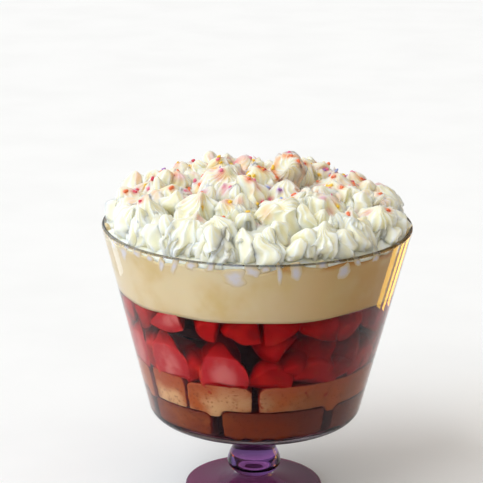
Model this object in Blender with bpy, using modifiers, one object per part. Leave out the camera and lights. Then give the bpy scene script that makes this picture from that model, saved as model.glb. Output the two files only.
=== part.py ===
"""Strawberry trifle in a footed glass bowl.

Metres, +Z up. The origin is the middle of the foot's underside. From the bottom up: a round foot,
a stem with a knop, the tapered bowl, a soaked sponge tier, a lighter sponge tier, strawberry jelly
in the gaps and above them, custard, and a heap of piped cream stars on a stepped cream layer.
"""

import math

import bmesh
import bpy
from mathutils import Vector

# Bowl
RIM_RADIUS = 0.105
RIM_HEIGHT = 0.194
BOWL_DEPTH = 0.1357
WALL_LEAN = math.atan(0.248)
WALL_THICKNESS = 0.003
FLOOR_THICKNESS = 0.005
OUTER_CORNER = 0.009
INNER_CORNER = 0.006

# Stem, knop and foot
STEM_RADIUS = 0.0142
STEM_FILLET = 0.008
KNOP_RADIUS = 0.0186
KNOP_HEIGHT = 0.0207
KNOP_DROP = 0.0106
KNOP_RISE = 0.0150
WAIST_RADIUS = 0.0118
FOOT_RADIUS = 0.048
FOOT_EDGE = 0.0038
FOOT_RISE = 0.0066
FOOT_HOLLOW = 2.2

# Fillings, as levels below the rim
CUSTARD_TOP_DROP = 0.0065
CUSTARD_BOTTOM_DROP = 0.0423
LOWER_GAP = 0.0076
UPPER_GAP = 0.0046
SPONGE_ROUNDING = 0.0036
SPONGE_SAG = 0.002
LOWER_START_DEG = -20.0
UPPER_START_DEG = -35.0
# (width in degrees, top above the bowl's floor) of each sponge piece, anticlockwise from the front
LOWER_TIER = (
    (60, 0.0220),
    (54, 0.0204),
    (54, 0.0212),
    (52, 0.0204),
    (50, 0.0222),
    (46, 0.0214),
    (44, 0.0192),
)
UPPER_TIER = (
    (35, 0.0410),
    (76, 0.0414),
    (56, 0.0404),
    (57, 0.0414),
    (56, 0.0398),
    (56, 0.0418),
    (24, 0.0430),
)

# Piped cream
STAR_RADIUS = 0.0138
STAR_RING_PITCH = 0.0283
STAR_RING_COUNTS = (1, 6, 12, 18)
STAR_SEATS = (0.0145, 0.0125, 0.0065, -0.0035)
STAR_HEIGHTS = (0.0245, 0.0245, 0.0250, 0.0275)
STAR_LEVELS = (0.0, 0.16, 0.42, 0.68, 0.88)
STAR_RIDGES = 6
STAR_GROOVE = 0.24
STAR_TWIST = math.radians(48)
STAR_TIP_LEAN = 0.0030
GOLDEN_ANGLE = math.radians(137.5)

# Making
CLEARANCE = 0.0003
TURNING_STEPS = 40
MERGE_DISTANCE = 0.0001
SHARP_ANGLE = math.radians(40)

LIP = WALL_THICKNESS / 2
FLOOR_HEIGHT = RIM_HEIGHT - BOWL_DEPTH + FLOOR_THICKNESS
CUSTARD_TOP = RIM_HEIGHT - CUSTARD_TOP_DROP
CUSTARD_BOTTOM = RIM_HEIGHT - CUSTARD_BOTTOM_DROP


def clear_scene():
    """Remove every object, so that only the trifle is left."""
    for existing in list(bpy.data.objects):
        bpy.data.objects.remove(existing, do_unlink=True)


def new_collection(name, helpers=False):
    """Add a collection to the scene; one for helpers is left out of renders."""
    collection = bpy.data.collections.new(name)
    collection.hide_render = helpers
    bpy.context.scene.collection.children.link(collection)
    return collection


def principled(name, colour, roughness, transmission=0.0, subsurface=0.0):
    """Make a plain material from a colour, a roughness and how clear or milky it is."""
    material = bpy.data.materials.new(name)
    material.use_nodes = True
    shader = material.node_tree.nodes["Principled BSDF"]
    shader.inputs["Base Color"].default_value = (*colour, 1.0)
    shader.inputs["Roughness"].default_value = roughness
    shader.inputs["Metallic"].default_value = 0.0
    shader.inputs["Transmission Weight"].default_value = transmission
    shader.inputs["Subsurface Weight"].default_value = subsurface
    material.diffuse_color = (*colour, 1.0)
    return material


def clear_glass_material():
    return principled("clear_glass", (0.93, 0.96, 0.97), 0.03, transmission=1.0)


def soaked_sponge_material():
    return principled("soaked_sponge", (0.27, 0.08, 0.025), 0.45)


def sponge_material():
    return principled("sponge", (0.50, 0.22, 0.11), 0.75)


def jelly_material():
    return principled("strawberry_jelly", (0.20, 0.008, 0.012), 0.12, transmission=0.6)


def custard_material():
    return principled("custard", (0.75, 0.60, 0.33), 0.35, subsurface=0.2)


def cream_material():
    return principled("whipped_cream", (0.86, 0.88, 0.80), 0.45, subsurface=0.3)


def make_object(name, mesh, collection, material=None):
    """Put a mesh in a collection as a named object; without a material it is a cutter."""
    made = bpy.data.objects.new(name, mesh)
    collection.objects.link(made)
    if material is None:
        made.hide_render = True
        made.display_type = "WIRE"
    else:
        mesh.materials.append(material)
        mesh.shade_smooth()
        mesh.set_sharp_from_angle(angle=SHARP_ANGLE)
    return made


def turned(name, profile, collection, material=None):
    """Turn a profile of (radius, height) points about Z; it runs down its outer side."""
    mesh = bpy.data.meshes.new(name)
    points = [(radius, 0.0, height) for radius, height in profile]
    edges = [(index, index + 1) for index in range(len(points) - 1)]
    mesh.from_pydata(points, edges, [])
    made = make_object(name, mesh, collection, material)
    screw = made.modifiers.new("Turn", "SCREW")
    screw.axis = "Z"
    screw.steps = TURNING_STEPS
    screw.render_steps = TURNING_STEPS
    screw.use_smooth_shade = True
    screw.use_merge_vertices = True
    screw.merge_threshold = MERGE_DISTANCE
    return made


def boolean(made, operation, cutter):
    """Add an exact Boolean modifier."""
    modifier = made.modifiers.new(operation.title(), "BOOLEAN")
    modifier.operation = operation
    modifier.solver = "EXACT"
    modifier.object = cutter


def arc(centre_radius, centre_height, radius, start, end, pieces):
    """Points on a round stretch of a profile, from one angle to another, in radians."""
    angles = [start + (end - start) * index / pieces for index in range(pieces + 1)]
    return [
        (centre_radius + radius * math.cos(angle), centre_height + radius * math.sin(angle))
        for angle in angles
    ]


def outer_radius(height):
    """Radius of the bowl's outer wall at a height; the wall touches the rounded rim."""
    touch_radius = RIM_RADIUS - LIP * (1 - math.cos(WALL_LEAN))
    touch_height = RIM_HEIGHT - LIP * (1 + math.sin(WALL_LEAN))
    return touch_radius + math.tan(WALL_LEAN) * (height - touch_height)


def inner_radius(height):
    """Radius of the bowl's inner wall at a height."""
    return outer_radius(height) - WALL_THICKNESS / math.cos(WALL_LEAN)


def corner(radius_at, bottom, rounding, start, end, pieces=3):
    """Round corner between a leaning wall and a level bottom."""
    height = bottom + rounding
    centre = radius_at(height) - rounding / math.cos(WALL_LEAN)
    return arc(centre, height, rounding, start, end, pieces)


def bowl_profile():
    """The bowl's inside from the floor up, the rim, then the outside down to the stem."""
    inside = corner(inner_radius, FLOOR_HEIGHT, INNER_CORNER, -math.pi / 2, -WALL_LEAN)
    rim = arc(RIM_RADIUS - LIP, RIM_HEIGHT - LIP, LIP, math.pi - WALL_LEAN, 0.0, 4)
    bottom = RIM_HEIGHT - BOWL_DEPTH
    outside = corner(outer_radius, bottom, OUTER_CORNER, -WALL_LEAN, -math.pi / 2)
    return [(0.0, FLOOR_HEIGHT), *inside, *rim, *outside]


def stem_profile():
    """The fillet under the bowl, the stem, the knop and its waist, from the top down."""
    bottom = RIM_HEIGHT - BOWL_DEPTH
    fillet_centre = STEM_RADIUS + STEM_FILLET
    fillet = arc(fillet_centre, bottom - STEM_FILLET, STEM_FILLET, math.pi / 2, math.pi, 3)
    swell = KNOP_RADIUS - STEM_RADIUS
    upper = [
        (STEM_RADIUS + swell * math.cos(share * math.pi / 2) ** 2, KNOP_HEIGHT + share * KNOP_RISE)
        for share in (0.8, 0.5, 0.25)
    ]
    turn_in = math.acos(WAIST_RADIUS / KNOP_RADIUS)
    lower = [
        (
            KNOP_RADIUS * math.cos(turn_in * share),
            KNOP_HEIGHT - KNOP_DROP * math.sin(turn_in * share),
        )
        for share in (0.0, 0.35, 0.7, 1.0)
    ]
    return [*fillet, *upper, *lower]


def foot_profile():
    """The foot's domed top, its rounded edge and its flat underside."""
    edge_round = FOOT_EDGE / 2
    flare = FOOT_RADIUS - edge_round - WAIST_RADIUS
    dome = [
        (WAIST_RADIUS + flare * share, FOOT_EDGE + FOOT_RISE * (1 - share) ** FOOT_HOLLOW)
        for share in (0.02, 0.2, 0.5)
    ]
    edge = arc(FOOT_RADIUS - edge_round, edge_round, edge_round, math.pi / 2, -math.pi / 2, 4)
    return [*dome, *edge, (0.0, 0.0)]


def make_bowl(collection):
    profile = bowl_profile() + stem_profile() + foot_profile()
    return turned("glass_bowl", profile, collection, clear_glass_material())


def filling_radius(height):
    """Radius of what fills the bowl, just clear of the glass."""
    return inner_radius(height) - CLEARANCE / math.cos(WALL_LEAN)


def filling_profile(top):
    """Outline of a filling that covers the bowl's floor up to a level."""
    bottom = FLOOR_HEIGHT + CLEARANCE
    rounding = INNER_CORNER - CLEARANCE
    foot = corner(filling_radius, bottom, rounding, -WALL_LEAN, -math.pi / 2)
    return [(0.0, top), (filling_radius(top), top), *foot, (0.0, bottom)]


def laid_round(tier, start_deg, gap):
    """Turn a tier's (width, top) pairs into (middle angle, half width, top, gap beside it)."""
    laid = []
    edge = math.radians(start_deg) - math.pi / 2
    for width_deg, top in tier:
        half = math.radians(width_deg) / 2
        laid.append((edge + half, half, FLOOR_HEIGHT + top, gap))
        edge += 2 * half
    return laid


def add_wedge(build, piece, bottom, grow):
    """Add one wedge to a bmesh: a sector with parallel gaps beside it, reaching past the glass."""
    middle, half, top, gap = piece
    reach = RIM_RADIUS * 1.2
    tip_distance = (gap / 2 - grow) / math.sin(half)
    tip = Vector((math.cos(middle), math.sin(middle))) * tip_distance
    far = [
        tip + Vector((math.cos(middle + turn), math.sin(middle + turn))) * reach
        for turn in (-half, 0.0, half)
    ]
    lower = [build.verts.new((*point, bottom - grow)) for point in (tip, *far)]
    upper = [build.verts.new((*point, top + grow)) for point in (tip, *far)]
    build.faces.new(reversed(lower))
    build.faces.new(upper)
    for index in range(len(lower)):
        after = (index + 1) % len(lower)
        build.faces.new((lower[index], lower[after], upper[after], upper[index]))


def wedge_cutter(name, pieces, bottom, collection, grow=0.0):
    """Make a cutter of rounded wedges, one for each piece, all of them enlarged by grow."""
    build = bmesh.new()
    for piece in pieces:
        add_wedge(build, piece, bottom, grow)
    bmesh.ops.bevel(
        build,
        geom=list(build.edges),
        offset=SPONGE_ROUNDING + grow,
        segments=2,
        profile=0.5,
        affect="EDGES",
    )
    mesh = bpy.data.meshes.new(name)
    build.to_mesh(mesh)
    build.free()
    return make_object(name, mesh, collection)


def make_sponge_tier(name, pieces, bottom, material, collection, cutters, below=None):
    """Make a tier's pieces, each cut from a turned layer by its wedge and shaped by what is below.

    Returns the tier's enlarged cutter, which leaves a clearance round every piece.
    """
    profile = filling_profile(max(piece[2] for piece in pieces) + SPONGE_ROUNDING)
    for number, piece in enumerate(pieces, start=1):
        sponge = turned(f"{name}_{number}", profile, collection, material)
        wedge = wedge_cutter(f"{name}_{number}_wedge", [piece], bottom, cutters)
        boolean(sponge, "INTERSECT", wedge)
        if below is not None:
            boolean(sponge, "DIFFERENCE", below)
    return wedge_cutter(f"{name}_clearance", pieces, bottom, cutters, grow=CLEARANCE)


def make_jelly(collection, tier_cutters):
    """Make the jelly: all the bowl's inside up to the custard, less the sponge."""
    profile = filling_profile(CUSTARD_BOTTOM - CLEARANCE)
    jelly = turned("strawberry_jelly", profile, collection, jelly_material())
    for cutter in tier_cutters:
        boolean(jelly, "DIFFERENCE", cutter)
    return jelly


def make_custard(collection):
    profile = [
        (0.0, CUSTARD_TOP),
        (filling_radius(CUSTARD_TOP), CUSTARD_TOP),
        (filling_radius(CUSTARD_BOTTOM), CUSTARD_BOTTOM),
        (0.0, CUSTARD_BOTTOM),
    ]
    return turned("custard", profile, collection, custard_material())


def make_cream_layer(collection, material):
    """Make the stepped layer that the stars stand on, with one level seat for each ring."""
    bottom = CUSTARD_TOP + CLEARANCE
    seats = [RIM_HEIGHT + seat - CLEARANCE for seat in STAR_SEATS]
    profile = [(0.0, seats[0])]
    for ring in range(len(seats) - 1):
        step_radius = STAR_RING_PITCH * (ring + 0.5)
        profile.append((step_radius, seats[ring]))
        profile.append((step_radius, seats[ring + 1]))
    profile += [(filling_radius(seats[-1]), seats[-1]), (filling_radius(bottom), bottom)]
    profile.append((0.0, bottom))
    return turned("cream_layer", profile, collection, material)


def star_width(rise):
    """Share of a star's radius at a share of its height: it bulges low down, then tapers."""
    return 0.965 * (0.88 + 0.9 * rise) * (1 - rise**1.8) ** 0.9


def star_mesh(height):
    """Loft a piped star: a grooved section that twists and narrows up to a leaning tip."""
    build = bmesh.new()
    rings = []
    for rise in STAR_LEVELS:
        ring = []
        for point in range(2 * STAR_RIDGES):
            depth = STAR_GROOVE if point % 2 else 0.0
            radius = STAR_RADIUS * star_width(rise) * (1 - depth)
            angle = math.pi * point / STAR_RIDGES + STAR_TWIST * rise
            lean = STAR_TIP_LEAN * rise**2
            place = (lean + radius * math.cos(angle), radius * math.sin(angle), height * rise)
            ring.append(build.verts.new(place))
        rings.append(ring)
    tip = build.verts.new((STAR_TIP_LEAN, 0.0, height))
    build.faces.new(reversed(rings[0]))
    for lower, upper in zip(rings, rings[1:]):
        for point in range(len(lower)):
            after = (point + 1) % len(lower)
            build.faces.new((lower[point], lower[after], upper[after], upper[point]))
    for point in range(len(rings[-1])):
        after = (point + 1) % len(rings[-1])
        build.faces.new((rings[-1][point], rings[-1][after], tip))
    mesh = bpy.data.meshes.new("cream_star")
    build.to_mesh(mesh)
    build.free()
    return mesh


def make_stars(collection, material):
    """Pipe the stars: one in the middle, then rings of them out to the glass."""
    number = 0
    for ring, count in enumerate(STAR_RING_COUNTS):
        for place in range(count):
            number += 1
            angle = math.tau * (place + 0.25 * ring) / count
            radius = STAR_RING_PITCH * ring
            star = make_object(
                f"cream_star_{number:02d}", star_mesh(STAR_HEIGHTS[ring]), collection, material
            )
            seat = RIM_HEIGHT + STAR_SEATS[ring]
            star.location = (radius * math.cos(angle), radius * math.sin(angle), seat)
            star.rotation_euler.z = GOLDEN_ANGLE * number


def make_sponges(collection, cutters):
    """Make both sponge tiers, the upper one resting on the lower, and return their clearances."""
    lower = laid_round(LOWER_TIER, LOWER_START_DEG, LOWER_GAP)
    upper = laid_round(UPPER_TIER, UPPER_START_DEG, UPPER_GAP)
    lower_clearance = make_sponge_tier(
        "soaked_sponge",
        lower,
        FLOOR_HEIGHT - SPONGE_ROUNDING,
        soaked_sponge_material(),
        collection,
        cutters,
    )
    upper_bottom = min(piece[2] for piece in lower) - SPONGE_SAG
    upper_clearance = make_sponge_tier(
        "sponge",
        upper,
        upper_bottom,
        sponge_material(),
        collection,
        cutters,
        below=lower_clearance,
    )
    return lower_clearance, upper_clearance


def main():
    clear_scene()
    trifle = new_collection("trifle")
    cutters = new_collection("cutters", helpers=True)
    cream = cream_material()
    make_bowl(trifle)
    make_jelly(trifle, make_sponges(trifle, cutters))
    make_custard(trifle)
    make_cream_layer(trifle, cream)
    make_stars(trifle, cream)


if __name__ == "__main__":
    main()
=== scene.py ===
import logging
import math
from dataclasses import dataclass, replace
from enum import Enum
from typing import Callable, Sequence

import bpy
import numpy as np
from mathutils import Matrix, Vector
from mathutils.bvhtree import BVHTree


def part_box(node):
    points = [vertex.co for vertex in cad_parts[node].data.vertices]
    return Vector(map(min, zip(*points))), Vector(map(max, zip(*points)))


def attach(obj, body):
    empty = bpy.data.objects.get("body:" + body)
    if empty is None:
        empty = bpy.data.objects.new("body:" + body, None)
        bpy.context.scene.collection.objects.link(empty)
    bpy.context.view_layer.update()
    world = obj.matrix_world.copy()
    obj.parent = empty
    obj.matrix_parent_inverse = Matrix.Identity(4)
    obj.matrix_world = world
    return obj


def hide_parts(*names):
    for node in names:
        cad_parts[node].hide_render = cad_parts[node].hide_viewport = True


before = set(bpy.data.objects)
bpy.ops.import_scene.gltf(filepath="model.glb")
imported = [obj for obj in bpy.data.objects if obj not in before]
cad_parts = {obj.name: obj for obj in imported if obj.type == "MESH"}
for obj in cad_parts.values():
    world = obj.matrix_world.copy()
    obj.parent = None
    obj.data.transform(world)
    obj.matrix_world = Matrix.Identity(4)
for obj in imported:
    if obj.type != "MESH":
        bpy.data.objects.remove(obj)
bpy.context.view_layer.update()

BODY = "root"
MM = 0.001
SEED = 20
OVERHANG = 0.55
OVERHANG_RISE = 6 * MM

Array = np.ndarray
Colour = tuple[float, float, float]
Outline = list[tuple[float, float]]
log = logging.getLogger("trifle")


def paint(code: str) -> Colour:
    """Turn a six-digit colour code into linear red, green and blue.

    Args:
        code: The colour as six hexadecimal digits.

    Returns:
        The three linear channels.
    """
    channels = [int(code[place : place + 2], 16) / 255 for place in (0, 2, 4)]
    return tuple(
        part / 12.92 if part <= 0.04045 else ((part + 0.055) / 1.055) ** 2.4 for part in channels
    )


def smooth(value: Array) -> Array:
    """Ease a share from 0 to 1 at both ends, clipped outside."""
    share = np.clip(value, 0.0, 1.0)
    return share * share * (3 - 2 * share)


class Ripple:
    """A smooth random field: a sum of sine waves in all directions."""

    def __init__(self, rng: np.random.Generator, wavelength: float, waves: int = 9) -> None:
        """Draw the waves.

        Args:
            rng: Where the waves' directions and phases come from.
            wavelength: Length of the middle wave, in metres.
            waves: How many waves are added up.
        """
        directions = rng.normal(size=(waves, 3))
        directions /= np.linalg.norm(directions, axis=1, keepdims=True)
        lengths = wavelength * rng.uniform(0.6, 1.7, size=(waves, 1))
        self.numbers = directions * math.tau / lengths
        self.phases = rng.uniform(0, math.tau, size=waves)
        self.share = 1.6 / math.sqrt(waves)

    def __call__(self, points: Array) -> Array:
        """Give the field, mostly within -1 to 1, at points of any shape (..., 3)."""
        return np.sin(points @ self.numbers.T + self.phases).sum(axis=-1) * self.share


# --------------------------------------------------------------------------------------
# The bowl's outline, which everything inside follows
# --------------------------------------------------------------------------------------


@dataclass(frozen=True)
class BowlOutline:
    """The glass bowl's turned outline, placed on the frame's bowl."""

    rim_radius: float
    rim_height: float
    depth: float = 135.7 * MM
    lean: float = math.atan(0.248)
    wall: float = 3.0 * MM
    floor: float = 5.0 * MM
    outer_corner: float = 9.0 * MM
    inner_corner: float = 6.0 * MM
    stem_radius: float = 14.2 * MM
    stem_fillet: float = 8.0 * MM
    knop_radius: float = 18.6 * MM
    knop_height: float = 20.7 * MM
    knop_drop: float = 10.6 * MM
    knop_rise: float = 15.0 * MM
    waist_radius: float = 11.8 * MM
    foot_radius: float = 48.0 * MM
    foot_edge: float = 3.8 * MM
    foot_rise: float = 6.6 * MM
    foot_hollow: float = 2.2
    knop_shares: tuple[float, float, int] = (0.92, 0.08, 8)
    foot_shares: tuple[float, float, int] = (0.02, 0.92, 12)

    @property
    def bottom(self) -> float:
        """Height of the bowl's underside."""
        return self.rim_height - self.depth

    @property
    def floor_height(self) -> float:
        """Height of the floor inside."""
        return self.bottom + self.floor

    @property
    def lip(self) -> float:
        """Radius of the rounded rim, half the wall's thickness."""
        return self.wall / 2

    def outer(self, height: Array | float) -> Array | float:
        """Radius of the outer wall at a height; the wall runs on from the rounded rim.

        Args:
            height: The height, or an array of heights.

        Returns:
            The radius at each height.
        """
        touch_radius = self.rim_radius - self.lip * (1 - math.cos(self.lean))
        touch_height = self.rim_height - self.lip * (1 + math.sin(self.lean))
        return touch_radius + math.tan(self.lean) * (height - touch_height)

    def inner(self, height: Array | float) -> Array | float:
        """Radius of the inner wall at a height."""
        return self.outer(height) - self.wall / math.cos(self.lean)

    @staticmethod
    def arc(
        centre: tuple[float, float], radius: float, start: float, end: float, parts: int
    ) -> Outline:
        """Points on a round stretch of the outline.

        Args:
            centre: Radius and height of the arc's centre.
            radius: The arc's own radius.
            start: First angle, in radians.
            end: Last angle, in radians.
            parts: How many straight parts stand for the arc.

        Returns:
            The (radius, height) points.
        """
        across, up = centre
        angles = np.linspace(start, end, parts + 1)
        return [(across + radius * math.cos(a), up + radius * math.sin(a)) for a in angles]

    def inner_turn(self, rounding: float) -> tuple[float, float]:
        """Centre of the round corner between the inner wall and the floor."""
        height = self.floor_height + rounding
        return self.inner(height) - rounding / math.cos(self.lean), height

    def glass(self) -> Outline:
        """The whole outline: the inside from the floor up, over the rim, and down to the foot.

        Returns:
            The (radius, height) points.
        """
        down = -math.pi / 2
        turn = self.inner_turn(self.inner_corner)
        inside = self.arc(turn, self.inner_corner, down, -self.lean, 8)
        rim_centre = (self.rim_radius - self.lip, self.rim_height - self.lip)
        rim = self.arc(rim_centre, self.lip, math.pi - self.lean, -self.lean, 12)
        corner_height = self.bottom + self.outer_corner
        corner_radius = self.outer(corner_height) - self.outer_corner / math.cos(self.lean)
        corner = (corner_radius, corner_height)
        outside = self.arc(corner, self.outer_corner, -self.lean, down, 10)
        return [(0.0, self.floor_height), *inside, *rim, *outside, *self.stem(), *self.foot()]

    def stem(self) -> Outline:
        """The fillet under the bowl, the stem, the knop and its waist.

        Returns:
            The (radius, height) points.
        """
        fillet_centre = (self.stem_radius + self.stem_fillet, self.bottom - self.stem_fillet)
        fillet = self.arc(fillet_centre, self.stem_fillet, math.pi / 2, math.pi, 8)
        swell = self.knop_radius - self.stem_radius
        upper = []
        for share in np.linspace(*self.knop_shares):
            radius = self.stem_radius + swell * math.cos(share * math.pi / 2) ** 2
            upper.append((radius, self.knop_height + share * self.knop_rise))
        turn_in = math.acos(self.waist_radius / self.knop_radius)
        lower = []
        for share in np.linspace(0.0, 1.0, 8):
            radius = self.knop_radius * math.cos(turn_in * share)
            lower.append((radius, self.knop_height - self.knop_drop * math.sin(turn_in * share)))
        return [*fillet, *upper, *lower]

    def foot(self) -> Outline:
        """The foot's domed top, its rounded edge and its flat underside.

        Returns:
            The (radius, height) points.
        """
        half = self.foot_edge / 2
        flare = self.foot_radius - half - self.waist_radius
        dome = []
        for share in np.linspace(*self.foot_shares):
            rise = self.foot_rise * (1 - share) ** self.foot_hollow
            dome.append((self.waist_radius + flare * share, self.foot_edge + rise))
        edge = self.arc((self.foot_radius - half, half), half, math.pi / 2, -math.pi / 2, 8)
        return [*dome, *edge, (0.0, 0.0)]


def read_outline() -> BowlOutline:
    """Place the outline on the frame's glass bowl."""
    low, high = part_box("glass_bowl")
    return BowlOutline(rim_radius=(high.x - low.x) / 2, rim_height=high.z)


# --------------------------------------------------------------------------------------
# Meshes
# --------------------------------------------------------------------------------------


class Skin:
    """Gathers closed bodies made of rings of points, and turns them into one mesh."""

    def __init__(self) -> None:
        """Start with no points."""
        self.points: list[Array] = []
        self.faces: list[Sequence[int]] = []
        self.marks: list[Array] = []
        self.count = 0

    def add_rings(self, rings: Array, start: Array, end: Array, marks: Array | None = None) -> None:
        """Add a closed body: rings joined in order, with a point closing each end.

        Args:
            rings: Points shaped (rings, points round, 3), each ring anticlockwise from its end.
            start: The point that closes the first ring.
            end: The point that closes the last ring.
            marks: A number for each ring point, kept as the mesh's own mark.
        """
        levels, around, _ = rings.shape
        base = self.count
        tail = base + levels * around
        index = base + np.arange(levels * around).reshape(levels, around)
        after = np.roll(index, -1, axis=1)
        sides = np.stack([index[:-1], after[:-1], after[1:], index[1:]], axis=-1).reshape(-1, 4)
        self.faces.extend(sides.tolist())
        self.faces.extend([tail, after[0, i], index[0, i]] for i in range(around))
        self.faces.extend([tail + 1, index[-1, i], after[-1, i]] for i in range(around))
        self.points.append(np.concatenate([rings.reshape(-1, 3), [start], [end]]))
        flat = np.zeros(levels * around) if marks is None else marks.reshape(-1)
        ends = [flat[:around].mean(), flat[-around:].mean()]
        self.marks.append(np.concatenate([flat, ends]))
        self.count = tail + 2

    def add_turned(self, outline: Outline, steps: int) -> None:
        """Add a body turned about Z from an outline that starts and ends on the axis.

        Args:
            outline: (radius, height) points, down the outer side.
            steps: How many points go round.
        """
        angles = np.linspace(0, math.tau, steps, endpoint=False)
        middle = np.array(outline[1:-1])
        rings = np.stack(
            [
                middle[:, :1] * np.cos(angles),
                middle[:, :1] * np.sin(angles),
                np.repeat(middle[:, 1:], steps, axis=1),
            ],
            axis=-1,
        )
        start = np.array([0.0, 0.0, outline[0][1]])
        end = np.array([0.0, 0.0, outline[-1][1]])
        self.add_rings(rings[::-1], end, start)

    def points_array(self) -> Array:
        """All the points so far, as one array."""
        return np.concatenate(self.points)

    def to_mesh(self, name: str, mark: str | None = None) -> bpy.types.Mesh:
        """Make the mesh, smooth shaded.

        Args:
            name: The mesh's name.
            mark: Name for the numbers given with the rings, if they are kept.

        Returns:
            The new mesh.
        """
        mesh = bpy.data.meshes.new(name)
        mesh.from_pydata(self.points_array().tolist(), [], self.faces)
        if mark is not None:
            attribute = mesh.attributes.new(mark, "FLOAT", "POINT")
            attribute.data.foreach_set("value", np.concatenate(self.marks).astype(np.float32))
        mesh.shade_smooth()
        mesh.update()
        return mesh


def place_piece(
    name: str,
    mesh: bpy.types.Mesh,
    materials: Sequence[bpy.types.Material],
    slot: str,
    replaces: Sequence[str] = (),
) -> bpy.types.Object:
    """Make a mesh a piece of the trifle, riding on the frame.

    Args:
        name: The piece's name.
        mesh: Its mesh, in the frame's own coordinates.
        materials: Its materials, in slot order.
        slot: The record's material slot that it stands for, which is only logged.
        replaces: The frame's nodes that it stands for.

    Returns:
        The new object.
    """
    piece = bpy.data.objects.new(name, mesh)
    bpy.context.scene.collection.objects.link(piece)
    for material in materials:
        mesh.materials.append(material)
    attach(piece, BODY)
    if replaces:
        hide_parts(*replaces)
    log.info("%s: %d faces, slot %s, replaces %s", name, len(mesh.polygons), slot, list(replaces))
    return piece


def keep_inside(points: Array, outline: BowlOutline, reach: float) -> Array:
    """Press points that would pass the glass flat against it, or a little over the rim.

    Args:
        points: Points shaped (..., 3).
        outline: The bowl's outline.
        reach: How far past the inner wall's face they may go.

    Returns:
        The points, moved in where they had to be.
    """
    pressed = points.copy()
    radius = np.hypot(pressed[..., 0], pressed[..., 1])
    height = np.minimum(pressed[..., 2], outline.rim_height)
    over_rim = np.clip(pressed[..., 2] - outline.rim_height, 0.0, OVERHANG_RISE)
    limit = outline.inner(height) + reach + OVERHANG * over_rim
    share = np.where(radius > limit, limit / np.maximum(radius, 1e-9), 1.0)
    pressed[..., 0] *= share
    pressed[..., 1] *= share
    return pressed


# --------------------------------------------------------------------------------------
# Shader node groups, each built once and placed in many materials
# --------------------------------------------------------------------------------------


class SocketKind(Enum):
    """The kinds of socket that the groups use."""

    NUMBER = "NodeSocketFloat"
    COLOUR = "NodeSocketColor"
    VECTOR = "NodeSocketVector"


class Wiring:
    """Short-hand for adding and linking nodes in one tree."""

    def __init__(self, tree: bpy.types.NodeTree) -> None:
        """Keep the tree.

        Args:
            tree: A material's or a group's node tree.
        """
        self.tree = tree

    def add(self, kind: str, inputs: dict | None = None, **settings: object) -> bpy.types.Node:
        """Add a node, set it up and wire its inputs.

        Args:
            kind: The node's type.
            inputs: Values or output sockets by input name or number.
            settings: The node's own settings.

        Returns:
            The new node.
        """
        node = self.tree.nodes.new(kind)
        for setting, value in settings.items():
            setattr(node, setting, value)
        self.feed(node, inputs or {})
        return node

    def feed(self, node: bpy.types.Node, inputs: dict) -> None:
        """Set or link a node's inputs.

        Args:
            node: The node.
            inputs: Values or output sockets by input name or number.
        """
        for key, value in inputs.items():
            socket = node.inputs[key]
            if isinstance(value, bpy.types.NodeSocket):
                self.tree.links.new(value, socket)
            elif isinstance(value, tuple) and len(value) == 3 and socket.type == "RGBA":
                socket.default_value = (*value, 1.0)
            else:
                socket.default_value = value

    def blend(self, share: object, first: object, second: object) -> bpy.types.NodeSocket:
        """Mix two colours by a share, and give the result's socket."""
        node = self.add("ShaderNodeMix", {0: share, 6: first, 7: second}, data_type="RGBA")
        return node.outputs[2]

    def math(self, operation: str, first: object, second: object = 0.0) -> bpy.types.NodeSocket:
        """Join two numbers by an operation, and give the result's socket."""
        node = self.add("ShaderNodeMath", {0: first, 1: second}, operation=operation)
        return node.outputs[0]

    def ease(self, value: object, low: object, high: object) -> bpy.types.NodeSocket:
        """Turn a number into a soft share from 0 at low to 1 at high.

        Args:
            value: The number.
            low: The number that gives 0.
            high: The number that gives 1.

        Returns:
            The share's socket.
        """
        node = self.add(
            "ShaderNodeMapRange",
            {"Value": value, "From Min": low, "From Max": high},
            interpolation_type="SMOOTHSTEP",
        )
        return node.outputs[0]


def new_group(
    name: str,
    takes: Sequence[tuple[str, SocketKind, object]],
    gives: Sequence[tuple[str, SocketKind]],
    fill: Callable[[Wiring, bpy.types.Node, bpy.types.Node], None],
) -> bpy.types.NodeTree:
    """Build a shader node group.

    Args:
        name: The group's name.
        takes: Each input's name, kind and starting value.
        gives: Each output's name and kind.
        fill: Wires the inside from the input node to the output node.

    Returns:
        The group.
    """
    group = bpy.data.node_groups.new(name, "ShaderNodeTree")
    for label, kind, start in takes:
        socket = group.interface.new_socket(label, in_out="INPUT", socket_type=kind.value)
        if start is not None:
            socket.default_value = (*start, 1.0) if kind is SocketKind.COLOUR else start
    for label, kind in gives:
        group.interface.new_socket(label, in_out="OUTPUT", socket_type=kind.value)
    wiring = Wiring(group)
    entry = wiring.add("NodeGroupInput")
    leave = wiring.add("NodeGroupOutput")
    fill(wiring, entry, leave)
    return group


def fill_mottle(wiring: Wiring, entry: bpy.types.Node, leave: bpy.types.Node) -> None:
    """Soft patches of a second colour over a first.

    Args:
        wiring: The group's own nodes.
        entry: The group's input node.
        leave: The group's output node.
    """
    patches = wiring.add(
        "ShaderNodeTexNoise",
        {"Vector": entry.outputs["Place"], "Scale": entry.outputs["Scale"], "Detail": 3.0},
    )
    mask = wiring.ease(patches.outputs[0], entry.outputs["Low"], entry.outputs["High"])
    colour = wiring.blend(mask, entry.outputs["First"], entry.outputs["Second"])
    wiring.feed(leave, {"Colour": colour, "Mask": mask})


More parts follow.
